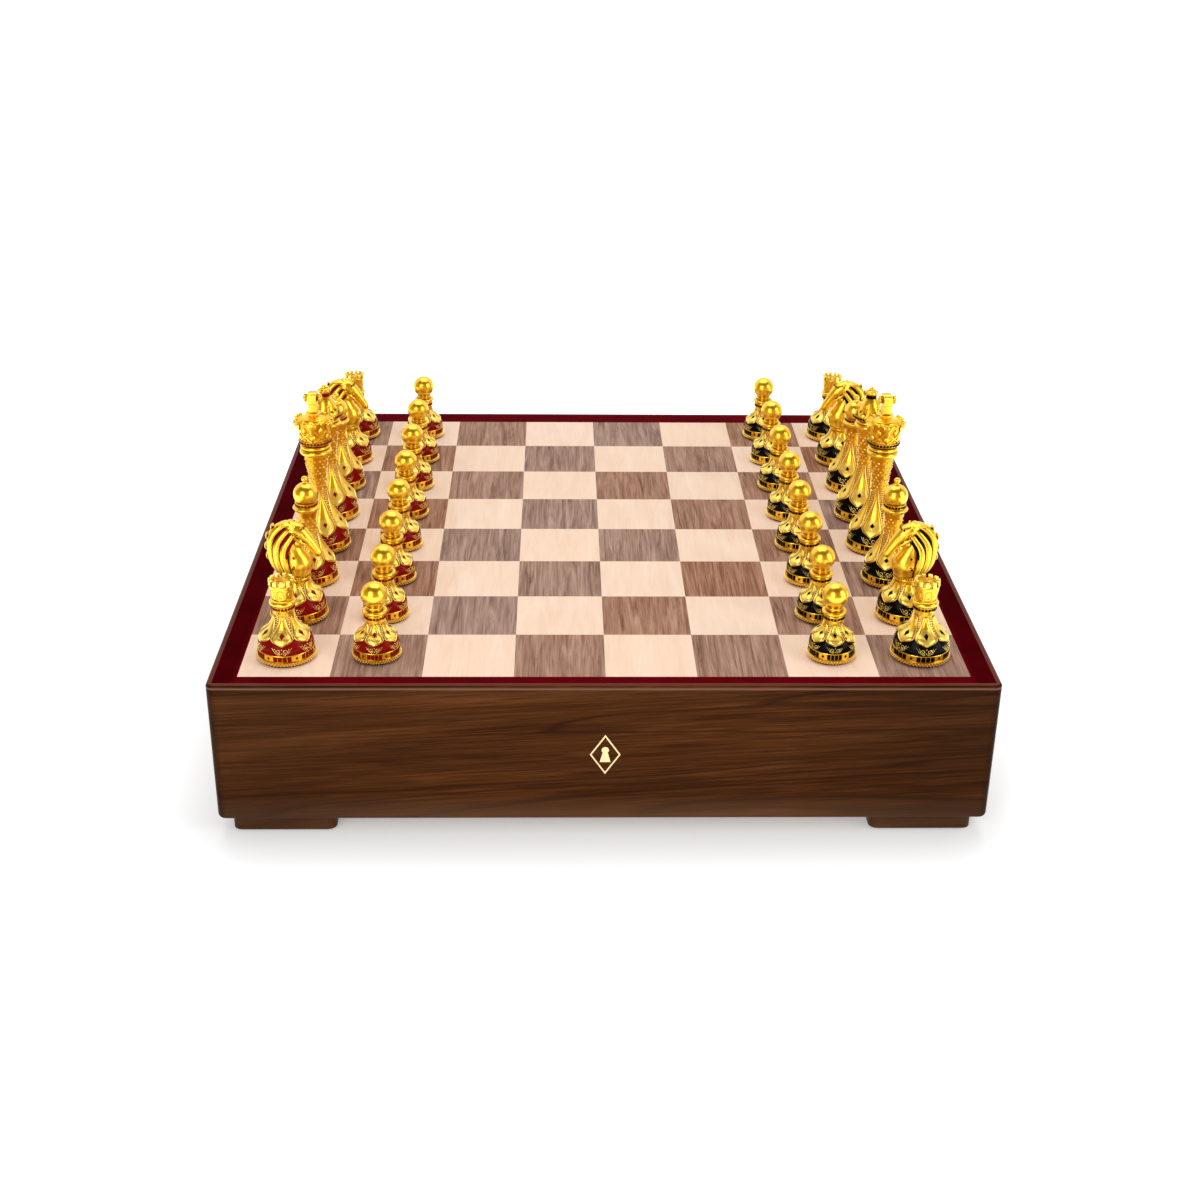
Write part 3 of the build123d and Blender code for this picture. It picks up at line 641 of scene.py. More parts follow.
def petalForm(side, tip, valley, top, endShare, smoothFrom):
    # half its width grows from the pointed tip as 1-(1-v)^power less a sine, is full at the valley, and
    # narrows to endShare at the top; across it a raised rim follows the edge, with a groove inside it
    rows = foot.petalRows
    height = tip + (top - tip) * np.linspace(0.0, 1.0, rows) ** 1.7
    radius = np.interp(height, side[:, 1], side[:, 0])
    low = np.clip((height - tip) / (valley - tip), 0, 1)
    high = np.clip((height - valley - foot.petalClose) / (top - valley - foot.petalClose), 0, 1)
    ease = high * high * (3 - 2 * high)
    dent = foot.petalDent * np.sin(2 * np.pi * np.minimum(low * 1.25, 1.0))
    swell = 1 - (1 - low) ** foot.petalPoint - dent
    half = np.pi / foot.petals * swell * (1 - (1 - endShare) * ease)
    half = np.maximum(half * radius - foot.petalGap, 0.06)
    half = half * np.clip((top - height) / foot.petalClose, 0.25, 1) ** 0.5
    edges = np.array([0.0, 0.14, 0.48, 0.82, 1.14, 1.5])
    inset = edges[None] * np.minimum(1, half / 1.9)[:, None]
    middle = (half - inset[:, -1])[:, None] * np.linspace(-1, 1, 6)[None, 1:-1]
    across = np.concatenate([-half[:, None] + inset, middle, (half[:, None] - inset)[:, ::-1]], 1)
    fromEdge = half[:, None] - np.abs(across)
    ridge, groove = (tall * np.exp(-((fromEdge - place) / wide) ** 2)
                     for tall, place, wide in (foot.petalRidge, foot.petalSunk))
    lift = foot.petalLift + ridge - groove
    front = stacked(across, height[:, None], np.where(fromEdge < 0.05, 0.05, lift))
    back = stacked(half[:, None] * np.array([0.8, 0.0, -0.8]), height[:, None], -0.5)
    petal = ringsOf(np.concatenate([front, back], 1), cast)
    faces = petal["quadColours"].reshape(rows - 1, -1)
    faces[height[:-1] > smoothFrom, 5:10] = polished
    # painted shade: the grooves inside the rims in darker satin gold
    faces[:, [3, 4, 10, 11]] = satinShade
    # painted highlight: the raised rims in paler gold
    faces[:, [1, 2, 12, 13]] = paleHighlight
    return petal, height, half


def gem(width, height):
    # a cut stone in a thin raised setting
    setting = stud(lozenge(width + 0.5, height + 0.5), [(1.0, 0.0), (1.0, 0.42), (0.8, 0.5)], polished)
    return joined([setting, stud(lozenge(width, height), [(0.98, 0.3), (0.92, 0.62), (0.5, 0.85)], enamel)])


def scrollwork(size, level):
    # gold wire on the enamel: two curls back to back, a leaf at each side and two small curls below
    strokes = [
        (curl((1.55, 1.75), 1.25, 0.3, -0.5 * np.pi, 1.3), 0.135),
        (curl((1.1, 0.55), 0.75, 0.2, 0.5 * np.pi, -1.1), 0.12),
        (bend([(2.5, 0.5), (3.4, 1.4), (3.5, 2.0), (4.7, 3.3)], 10),
         np.array([0.08, 0.09, 0.10, 0.11, 0.12, 0.12, 0.11, 0.10, 0.08, 0.05])),
        (bend([(2.9, 1.6), (2.9, 2.6), (3.4, 3.2)], 8), 0.11),
    ]
    # the wires and beads in pale gold: painted highlight
    parts = [wire(path * (hand, 1.0) * size + (0, level), thick * size, 5, paleHighlight)
             for hand in (-1, 1) for path, thick in strokes]
    beads = shifted(bead(0.36 * size, 6, paleHighlight), [(0.0, level + size), (0.0, level + 2.9 * size)])
    return joined(parts + [beads])


def ornamentFoot(p, side, turn=0.0):
    # everything that lies on the foot: rim beads, enamel blocks, wire scrolls, petals, gems and bead rows
    count = foot.petals
    angles = evenly(count) + foot.turn + turn
    between = angles + np.pi / count
    band = p.base - foot.bandStep
    rimSide = np.array([(p.base, 0.5), (p.base, 3.6)])
    # the rim beads in pale gold: painted highlight
    rimBead = bead(foot.rimBeadRadius, 6, paleHighlight)
    parts = [wrapped(shifted(rimBead, (0.0, level)), rimSide, evenly(foot.rimBeads, share))
             for share, level in zip((0.0, 0.5), foot.rimBeadLevels)]
    pitch = np.radians(foot.blockPitch) * band
    level = (foot.rimTop + foot.bandTop - 0.5) / 2
    edge = rounded(pitch * foot.blockWide, foot.blockTall, 12, 0.2)
    block = stud(edge, [(1.0, -0.2), (1.0, 0.1), (0.88, 0.22)], enamel)
    places = (np.arange(foot.blocks) - (foot.blocks - 1) / 2) * pitch
    pip = stud(lozenge(*foot.pip), [(1.0, -0.2), (1.0, 0.12), (0.8, 0.26)], enamel)
    petal, height, half = petalForm(side, p.petalTip, p.petalValley, p.petalTop, p.petalEnd, p.gemLevel + 2.6)
    parts += [
        wrapped(shifted(block, np.column_stack([places, np.full(foot.blocks, level)])), side, angles),
        wrapped(shifted(pip, (0.0, level)), side, between),
        wrapped(scrollwork(p.scroll, foot.bandTop + 0.35), side, angles),
        wrapped(petal, side, angles),
        wrapped(shifted(gem(*p.gem), (0.0, p.gemLevel, 0.1)), side, angles),
    ]
    # the room between two petals, and how many beads go into it at each height
    step = foot.beadStep * p.beadRadius
    rows = np.arange(p.petalValley + 1.4, p.beadTop, step)
    radius = np.interp(rows, side[:, 1], side[:, 0])
    room = 2 * (np.pi / count * radius - np.interp(rows, height, half, right=1.75 * np.pi / count))
    room = np.where(rows > p.petalTop - 0.5, step, room)
    number = np.clip(np.round(room / step), 1, 4).astype(int)
    place = np.arange(4)[None] - (number[:, None] - 1) / 2
    shown = np.arange(4)[None] < number[:, None]
    # rows of one to four beads side by side, spread over the room that they have
    spots = stacked(place * np.minimum(room / number, 1.5 * step)[:, None], rows[:, None])[shown]
    return parts + [wrapped(shifted(bead(p.beadRadius, 6, paleHighlight), spots), side, between)]


def lattice(side, low, high, lines, radius):
    # beads climbing both ways round the stem; in every second row the two ways meet in one bead
    meet = 2
    step = foot.latticeStep * radius
    rows = np.arange(int((high - low) / step)) * step + low
    across = np.arange(len(rows)) * np.pi / (lines * meet) * np.interp(rows, side[:, 1], side[:, 0])
    apart = np.arange(len(rows)) % meet != 0
    ways = (np.column_stack([across, rows]), np.column_stack([-across, rows])[apart])
    # the lattice beads in pale gold: painted highlight
    return [wrapped(shifted(bead(radius, 6, paleHighlight), way), side, evenly(lines)) for way in ways]


def beltOf(radius, low, dots):
    # a row of small enamel squares in a groove between two gold lips
    height, groove = foot.belt, radius - 0.25
    profile = [
        halfRound(radius + 0.1, low, 0.3, radius - 0.3, 5),
        # painted shade: the groove in darker satin gold
        (satinShade, line((groove, low + 0.3), (groove, low + height - 0.25))),
        halfRound(radius, low + height - 0.3, 0.3, radius - 0.3, 4),
    ]
    wide = 2 * np.pi * radius / dots * foot.dotShare
    dot = stud(rounded(wide, height - 0.5, 8, 0.3), [(1.0, -0.15), (1.0, 0.3), (0.85, 0.42)], enamel)
    straight = np.array([(groove, low), (groove, low + height)])
    return profile, wrapped(shifted(dot, (0.0, low + height / 2)), straight, evenly(dots))


def dressed(p, stretches, side, *more, turn=0.0):
    # the whole outline turned, with all that lies on its foot
    return [turnedForm(*outline(*stretches), p.around), *more] + ornamentFoot(p, side, turn)


# pawn

pawnSizes = {
    "base": 13.4, "shoulder": 10.4, "shoulderRise": 7.1, "waist": 5.2, "waistRise": 6.2, "sweepRows": 22,
    "petalTip": 11.5, "petalValley": 14.2, "petalTop": 21.6, "petalEnd": 0.86,  # heights, and the top's share
    "scroll": 0.98, "gem": (2.1, 2.4), "gemLevel": 16.0, "beadRadius": 0.50, "beadTop": 22.6, "around": 72,
    "neck": 3.2, "neckRadius": 5.5, "belt": 6.0, "dots": 20, "collar": 6.9, "collarHeight": 5.4,
    "cup": 3.9, "ball": 7.35,
}


def pawnShell():
    # foot, short neck with a belt, collar, and a ball on a small cup
    p = SimpleNamespace(**pawnSizes)
    stretches, side, waist = footOf(p)
    belt = waist + p.neck
    profile, dots = beltOf(p.belt, belt, p.dots)
    collar = belt + foot.belt
    start = collar + p.collarHeight
    centre = start + np.sqrt(p.ball**2 - p.cup**2)
    rise = np.linspace(-np.arccos(p.cup / p.ball), 0.5 * np.pi - 0.05, 26)
    stretches += [
        line((p.waist, waist), (p.neckRadius, belt), count=3), *profile,
        (satinShade, line((p.belt - 0.2, collar), (p.belt - 0.5, collar + 1.1))),
        halfRound(p.collar, collar + 1.2, 1.8, p.belt - 0.6, 9),
        (satinShade, line((p.cup + 0.4, collar + 3.0), (p.cup + 0.1, start - 1.3))),
        halfRound(p.cup + 0.9, start - 1.3, 1.0, p.cup + 0.1, 6),
        polar(p.ball, rise, (0.0, centre)),
    ]
    return joined(dressed(p, stretches, side, dots))


# rook

rookSizes = {
    "base": 16.3, "shoulder": 12.6, "shoulderRise": 8.4, "waist": 5.5, "waistRise": 11.7, "sweepRows": 22,
    "petalTip": 12.3, "petalValley": 15.6, "petalTop": 26.5, "petalEnd": 0.6, "scroll": 1.2,
    "gem": (2.6, 2.9), "gemLevel": 16.9, "beadRadius": 0.58, "beadTop": 29.2, "around": 96,
    "neck": 2.4, "neckRadius": 5.85, "belt": 6.5, "dots": 21, "collar": 7.4, "collarHeight": 3.2,
    "towerFoot": 5.8, "towerTop": 7.1, "tower": 12.4, "wall": 1.8,
    "merlons": 11, "arches": 8, "merlon": 2.6, "gap": 0.42, "well": 4.6,
}


def petalLeaf(width, height, thick):
    # a small leaf: its half width follows the sine of its height, and it is fullest along its middle
    rise = np.linspace(0.03, 0.97, 7)[:, None]
    half = width / 2 * np.sin(np.pi * rise**0.8) ** 0.7
    place = np.array([-1.0, -0.5, 0.0, 0.5, 1.0])
    front = stacked(half * place, height * rise, thick * (1 - 0.75 * place**2) * np.sin(np.pi * rise) ** 0.5)
    back = stacked(half * np.array([0.5, -0.5]), height * rise, -0.3)
    return ringsOf(np.concatenate([front, back], 1), polished)


def rookShell():
    # foot, neck with a belt, collar, and a tower with leaves in arches, a hollow top and battlements
    p = SimpleNamespace(**rookSizes)
    stretches, side, waist = footOf(p)
    belt = waist + p.neck
    profile, dots = beltOf(p.belt, belt, p.dots)
    collar = belt + foot.belt
    low = collar + p.collarHeight
    top = low + p.tower
    sill, floor = top - p.merlon, top - p.well
    inner = p.towerTop - p.wall
    tower = line((p.towerFoot, low + 1.1), (p.towerTop - 0.15, sill - 0.7), count=6)
    stretches += [
        line((p.waist, waist), (p.neckRadius, belt), count=3), *profile,
        halfRound(p.collar, collar, p.collarHeight, p.belt - 0.3, 10),
        line((p.towerFoot + 0.6, low), (p.towerFoot + 0.7, low + 0.8), (p.towerFoot, low + 1.1)),
        tower,
        halfRound(p.towerTop + 0.15, sill - 0.7, 0.7, p.towerTop - 0.2, 5),
        (cast, line((p.towerTop, sill), (inner, sill), (inner - 0.3, floor), (0.6, floor))),
    ]
    parts = dressed(p, stretches, side, dots)
    pitch = 2 * np.pi / p.merlons
    turn = pitch * np.linspace(p.gap / 2, 1 - p.gap / 2, 5)
    ring = np.concatenate([polar(p.towerTop, turn), polar(inner, turn)[::-1]])
    middle = ring.mean(axis=0)
    merlon = stud(ring - middle, [(1.0, sill - 0.2), (1.0, top - 0.35), (0.93, top - 0.08), (0.8, top)], cast)
    parts.append(aboutAxis(shifted(merlon, middle), evenly(p.merlons)))
    arch = np.concatenate([line((-1.8, 0.9), (-1.8, 4.8), count=6), curl((0, 4.8), 1.8, 1.8, np.pi, -0.5, 9),
                           line((1.8, 4.8), (1.8, 0.9), count=6)])
    niche = [wire(arch + (0, low + 0.6), 0.15, 5, satinShade), shifted(petalLeaf(1.5, 3.6, 0.2), (0.0, low + 2.2))]
    return joined(parts + [wrapped(joined(niche), tower[[0, -1]], evenly(p.arches))])


# bishop

bishopSizes = {
    "base": 16.5, "shoulder": 13.0, "shoulderRise": 8.6, "waist": 5.3, "waistRise": 25.6, "sweepRows": 30,
    "petalTip": 12.3, "petalValley": 16.2, "petalTop": 34.0, "petalEnd": 0.5, "scroll": 1.22,
    "gem": (2.6, 2.9), "gemLevel": 17.4, "beadRadius": 0.58, "beadTop": 34.0, "around": 96,
    "lattice": (6, 0.66), "latticeFrom": 34.6,  # lines each way and the beads' radius, and where they start
    "neck": 3.8, "neckRadius": 6.3, "collar": 8.0, "collarHeight": 3.4, "belt": 6.7, "dots": 21,
    "dome": 7.2, "domeRise": 4.8, "stalk": 1.2, "stalkRise": 1.0, "tip": 1.9,
}


def bishopShell(turn):
    # foot, beaded stem, collar, belt, and a dome with a small ball on a stalk
    p = SimpleNamespace(**bishopSizes)
    stretches, side, waist = footOf(p)
    collar = waist + p.neck
    belt = collar + p.collarHeight
    profile, dots = beltOf(p.belt, belt, p.dots)
    centre = belt + foot.belt + p.domeRise
    rise = np.linspace(np.arcsin(-(p.domeRise - 0.3) / p.dome), np.arccos(p.stalk / p.dome), 24)
    stalk = centre + p.dome * np.sin(rise[-1])
    tip = stalk + p.stalkRise
    tipCentre = tip + np.sqrt(p.tip**2 - p.stalk**2)
    tipRise = np.linspace(np.arcsin((tip - tipCentre) / p.tip), 0.5 * np.pi - 0.1, 12)
    wide = p.collar
    stretches += [
        (satinShade, line((p.waist, waist), (p.neckRadius, collar), count=4)),
        arc((p.neckRadius, collar), (wide - 0.9, collar + 0.75), (wide, collar + 1.9), 6),
        arc((wide, collar + 1.9), (wide - 0.1, collar + 2.5), (wide - 0.7, collar + 2.8), 5),
        line((p.belt + 0.1, belt - 0.4), (p.belt - 0.2, belt)), *profile,
        polar(p.dome, rise, (0.0, centre)),
        line((p.stalk + 0.5, stalk), (p.stalk, stalk + 0.4), (p.stalk, tip)),
        polar(p.tip, tipRise, (0.0, tipCentre)),
    ]
    parts = dressed(p, stretches, side, dots, turn=turn)
    return joined(parts + lattice(side, p.latticeFrom, collar - 0.4, *p.lattice))


# queen

def ringedNeck(p, waist):
    # the plain neck, a ring in two steps and the belt, with the belt's squares and the ring's and top's level
    ring = waist + p.neck
    belt = ring + p.ringHeight + p.beltRise
    lower, root = p.ringHeight * p.ringShare, p.neckRadius + p.ringRoot
    profile, dots = beltOf(p.belt, belt, p.dots)
    stretches = [
        (satinShade, line((p.waist, waist), (p.neckRadius, ring), count=8)),
        halfRound(p.ring, ring, lower, p.neckRadius + 0.2, 10),
        halfRound(p.ring - p.ringStep, ring + lower, p.ringHeight - lower, root, p.ringRows),
        line((root + 0.2, ring + p.ringHeight), (p.belt - 0.3, belt)), *profile,
    ]
    return stretches, dots, ring, belt + foot.belt


queenSizes = {
    "base": 17.8, "shoulder": 14.4, "shoulderRise": 8.8, "waist": 5.2, "waistRise": 28.0, "sweepRows": 32,
    "petalTip": 12.0, "petalValley": 17.0, "petalTop": 38.0, "petalEnd": 0.5, "scroll": 1.32,
    "gem": (2.8, 3.1), "gemLevel": 18.6, "beadRadius": 0.64, "beadTop": 37.5, "around": 96,
    "lattice": (7, 0.74), "latticeFrom": 38.6,
    "neck": 17.9, "neckRadius": 7.4, "ring": 9.3, "ringHeight": 5.6,
    "ringShare": 0.625, "ringStep": 0.8, "ringRoot": 0.2, "ringRows": 7,
    "belt": 10.6, "beltRise": 1.6, "dots": 30,
    "arms": 8, "armRise": 6.6, "armInset": 1.4, "armBead": 1.35,
    "dome": 8.0, "domeRise": 10.6, "fullness": 0.7, "cap": 3.5, "capHeight": 3.2,
    "coronet": 4.4, "coronetHeight": 3.0, "tip": 1.7,
}


def queenShell(turn):
    # foot, beaded stem, ring, belt, a ring of arms round the dome, and a coronet of pearls with a ball
    p = SimpleNamespace(**queenSizes)
    stretches, side, waist = footOf(p)
    neck, dots, ring, crown = ringedNeck(p, waist)
    cap = crown + p.domeRise
    coronet = cap + p.capHeight
    tip = coronet + p.coronetHeight
    middle = (p.cap + (p.dome - p.cap) * p.fullness, crown + p.domeRise / 2)
    tipRise = np.linspace(-0.2, 0.5 * np.pi - 0.1, 8)
    tipBall = np.column_stack([p.tip * np.cos(tipRise), tip + 0.15 + (p.tip - 0.15) * np.sin(tipRise)])
    stretches += neck + [
        line((p.belt - 0.8, crown), (p.dome, crown)),
        arc((p.dome, crown), middle, (p.cap + 0.15, cap), 18),
        halfRound(p.cap + 0.2, cap, 0.3, p.cap - 0.1, 5),
        (enamel, line((p.cap - 0.1, cap + 0.3), (p.cap - 0.1, coronet - 0.25))),
        halfRound(p.cap + 0.4, coronet - 0.25, 0.35, p.cap - 0.1, 5),
        arc((p.cap, coronet), (p.cap - 0.4, coronet + 1.4), (1.6, tip - 0.7), 8),
        tipBall,
    ]
    parts = dressed(p, stretches, side, dots, turn=turn)
    parts += lattice(side, p.latticeFrom, ring - 0.4, *p.lattice)
    reach = p.belt - p.armInset
    turns = evenly(p.arms, 0.5)
    path = bend([(reach - 1.4, 0, crown - 0.2), (reach + 0.1, 0, crown + 1.2), (reach - 0.9, 0, crown + 4.0),
                 (reach + 0.1, 0, crown + p.armRise)], 12)
    arm = rope(path, np.linspace(1.5, 0.62, 12), np.linspace(0.7, 0.5, 12), (1.0, 0.0, 0.0))
    lip = np.array([(p.belt - 0.2, crown - 1.2), (p.belt - 0.9, crown + 0.6), (p.dome + 0.6, crown + 3.2)])
    knob = shifted(ball(p.armBead, 14, 9), (reach, 0, crown + p.armRise + 0.3))
    leaves = wrapped(shifted(petalLeaf(4.6, 3.6, 0.7), (0.0, crown - 0.4)), lip, turns + np.pi / p.arms)
    pearl = shifted(ball(0.95, 10, 7), (p.coronet - 0.95, 0, coronet + 0.9))
    small = shifted(ball(0.55, 8, 6), (p.coronet - 2.1, 0, coronet + 2.0))
    parts += [aboutAxis(arm, turns), aboutAxis(knob, turns), leaves, aboutAxis(pearl, evenly(8)),
              aboutAxis(small, evenly(6, 0.5))]
    return joined(parts)


# king

kingSizes = {
    "base": 18.0, "shoulder": 14.6, "shoulderRise": 8.8, "waist": 5.2, "waistRise": 30.8, "sweepRows": 34,
    "petalTip": 12.0, "petalValley": 17.2, "petalTop": 40.0, "petalEnd": 0.5, "scroll": 1.33,
    "gem": (2.8, 3.1), "gemLevel": 18.7, "beadRadius": 0.64, "beadTop": 39.5, "around": 96,
    "lattice": (7, 0.74), "latticeFrom": 40.6,
    "neck": 15.3, "neckRadius": 7.4, "ring": 9.8, "ringHeight": 6.4,
    "ringShare": 0.6, "ringStep": 0.6, "ringRoot": 0.4, "ringRows": 8,
    "belt": 10.1, "beltRise": 1.6, "dots": 30,
    "cup": 9.2, "crown": 12.7, "crownRise": 12.4, "leaves": 6, "leafWide": 3.5, "saucer": 7.4,
    "disc": 4.8, "discRise": 3.6, "stem": 3.4, "discThick": 1.2,
    "cross": 5.6, "crossHeight": 12.2, "span": 12.0, "arm": 5.0, "armDrop": 0.8, "rosette": 1.76,
}


def softBox(low, high, edge=0.3):
    # a block with its edges eased: rings of rounded squares, smaller at the bottom and the top
    low, high = np.array(low), np.array(high)
    size, middle = high - low, (high + low) / 2
    rings = []
    for inset, level in ((edge, low[2]), (0.0, low[2] + edge), (0.0, high[2] - edge), (edge, high[2])):
        ring = rounded(size[0] - 2 * inset, size[1] - 2 * inset, 16, 0.12)
        rings.append(np.column_stack([ring + middle[:2], np.full(16, level)]))
    return ringsOf(np.stack(rings), polished)


def kingShell(turn):
    # foot, beaded stem, ring, belt, a crown of lobed leaves round the cup, and a cross with two rosettes
    p = SimpleNamespace(**kingSizes)
    stretches, side, waist = footOf(p)
    neck, dots, ring, cup = ringedNeck(p, waist)
    rim = cup + p.crownRise
    disc = rim + p.discRise
    top = disc + p.discThick
    flare = bend([(p.cup, cup + 0.1), (p.cup - 0.3, cup + 4.0), (p.cup + 0.9, cup + 8.0),
                  (p.crown - 1.6, rim - 0.4)], 12)
    stretches += neck + [
        line((p.belt - 0.5, cup), (p.cup + 0.1, cup + 0.05)),
        (satinShade, flare),
        line((p.crown - 1.9, rim), (p.saucer + 0.8, rim - 2.2), (p.saucer, rim - 2.0)),
        arc((p.saucer, rim - 0.4), (p.saucer - 0.5, rim + 0.5), (p.saucer - 1.4, rim + 1.1), 6),
        bend([(p.saucer - 1.6, rim + 1.1), (p.stem + 1.2, rim + 1.5), (p.stem, disc - 1.0)], 8),
        line((p.stem, disc - 0.9), (p.stem, disc - 0.2)),
        line((p.disc - 0.4, disc), (p.disc, disc + 0.4), (p.disc, top - 0.3),
             (p.disc - 0.5, top), (0.4, top)),
    ]
    parts = dressed(p, stretches, side, dots, turn=turn)
    parts += lattice(side, p.latticeFrom, ring - 0.4, *p.lattice)
    turns = evenly(p.leaves) + foot.turn
    niches = turns + np.pi / p.leaves
    cupSide = np.concatenate([line((p.cup, cup - 0.2), (p.cup, cup + 0.09)), flare])
    strap = bend([(-4.2, 0.3), (-1.6, 2.4), (1.6, 4.6), (4.2, 7.4)], 12)
    lyre = [wire(strap * (hand, 1) + (0, cup), 0.62, 6) for hand in (1, -1)]
    lyre += [shifted(petalLeaf(3.0, 4.8, 1.1), (0.0, cup + 5.2)), shifted(bead(0.8), (0.0, cup + 1.2))]
    parts.append(wrapped(joined(lyre), cupSide, niches))
    parts.append(wrapped(shifted(petalLeaf(3.4, 4.4, 1.0), (0.0, cup + 0.8)), cupSide, turns))
    edge = (p.crown, 0, rim)
    share = np.linspace(0, 1, 24)
    spine = through([(-3.3, 0, -8.0), (-2.2, 0, -4.0), (-1.5, 0, -0.6), (-0.8, 0, 0.4), (-0.3, 0, -0.9),
                     (-0.9, 0, -2.0)], 24) + edge
    normal = standingOff(spine)
    wide = np.interp(share, [0, 0.25, 0.5, 0.7, 0.88, 1], [0.9, 2.3, p.leafWide, p.leafWide, 2.3, 0.9])
    lobed = wide * (1 - 0.17 * np.cos(share * 11 * np.pi))  # the leaf's edge is cut into lobes
    parts.append(aboutAxis(rope(spine, lobed, 0.62, normal, 16), turns))
    for hand, thick in ((0.0, 0.75), (-0.5, 0.5), (0.5, 0.5)):
        rib = spine + 0.35 * unit(normal) + stacked(0.0, hand * wide, 0.0)
        parts.append(aboutAxis(rope(rib, thick * (1 - 0.5 * share), 0.5, normal, 6), turns))
    between = through([(-3.2, 0, -3.4), (-2.4, 0, -0.2), (-1.6, 0, 0.4), (-1.1, 0, -0.6)], 14) + edge
    small = np.interp(np.linspace(0, 1, 14), [0, 0.5, 1], [0.7, 1.3, 0.4])
    parts.append(aboutAxis(rope(between, small, 0.5, standingOff(between), 10), niches))
    cut, span, crossTop = p.cross / 2, p.span / 2, top + p.crossHeight
    armTop = crossTop - p.armDrop
    parts.append(softBox((-cut, -cut, top - 0.2), (cut, cut, crossTop)))
    parts.append(softBox((-cut, -span, armTop - p.arm), (cut, span, armTop)))
    petals = np.array([0.0, 1.0, 0.5, -0.5]) * np.pi
    flower = joined([
        stud(rounded(2 * p.rosette, 2 * p.rosette, 12, 1.0), [(1.0, -0.2), (1.0, 1.4), (0.7, 1.9)], polished),
        shifted(ball(1.35, 12, 8, (1, 1, 0.9)), stacked(1.5 * np.cos(petals), 1.5 * np.sin(petals), 1.6)),
        shifted(ball(1.1, 10, 7), (0.0, 0.0, 2.1)),
    ])
    level = armTop - p.arm / 2
    parts.append(facing(flower, [(-cut, 0.0, level), (cut, 0.0, level)], [(0.0, -1.0, 0.0), (0.0, 1.0, 0.0)]))
    return joined(parts)


# knight

knightSizes = {
    "base": 16.5, "shoulder": 13.0, "shoulderRise": 8.6, "waist": 7.0, "waistRise": 9.0, "sweepRows": 22,
    "petalTip": 12.3, "petalValley": 16.0, "petalTop": 23.8, "petalEnd": 0.8, "scroll": 1.22,
    "gem": (2.6, 2.9), "gemLevel": 17.2, "beadRadius": 0.58, "beadTop": 24.6, "around": 96,
    "neck": 1.0, "neckRadius": 7.0, "collar": 8.1, "pearls": 36,
    "lockWide": 1.95, "lockDeep": 1.65, "groove": 0.62,  # the mane's locks and the enamel between them
}


def offNeck(path, hand):
    # the direction in which a lock stands off the neck, a little more backwards the further back it lies
    return stacked(0.25 * (path[:, 0] + 3.0), 7.0 * hand, 0.0)


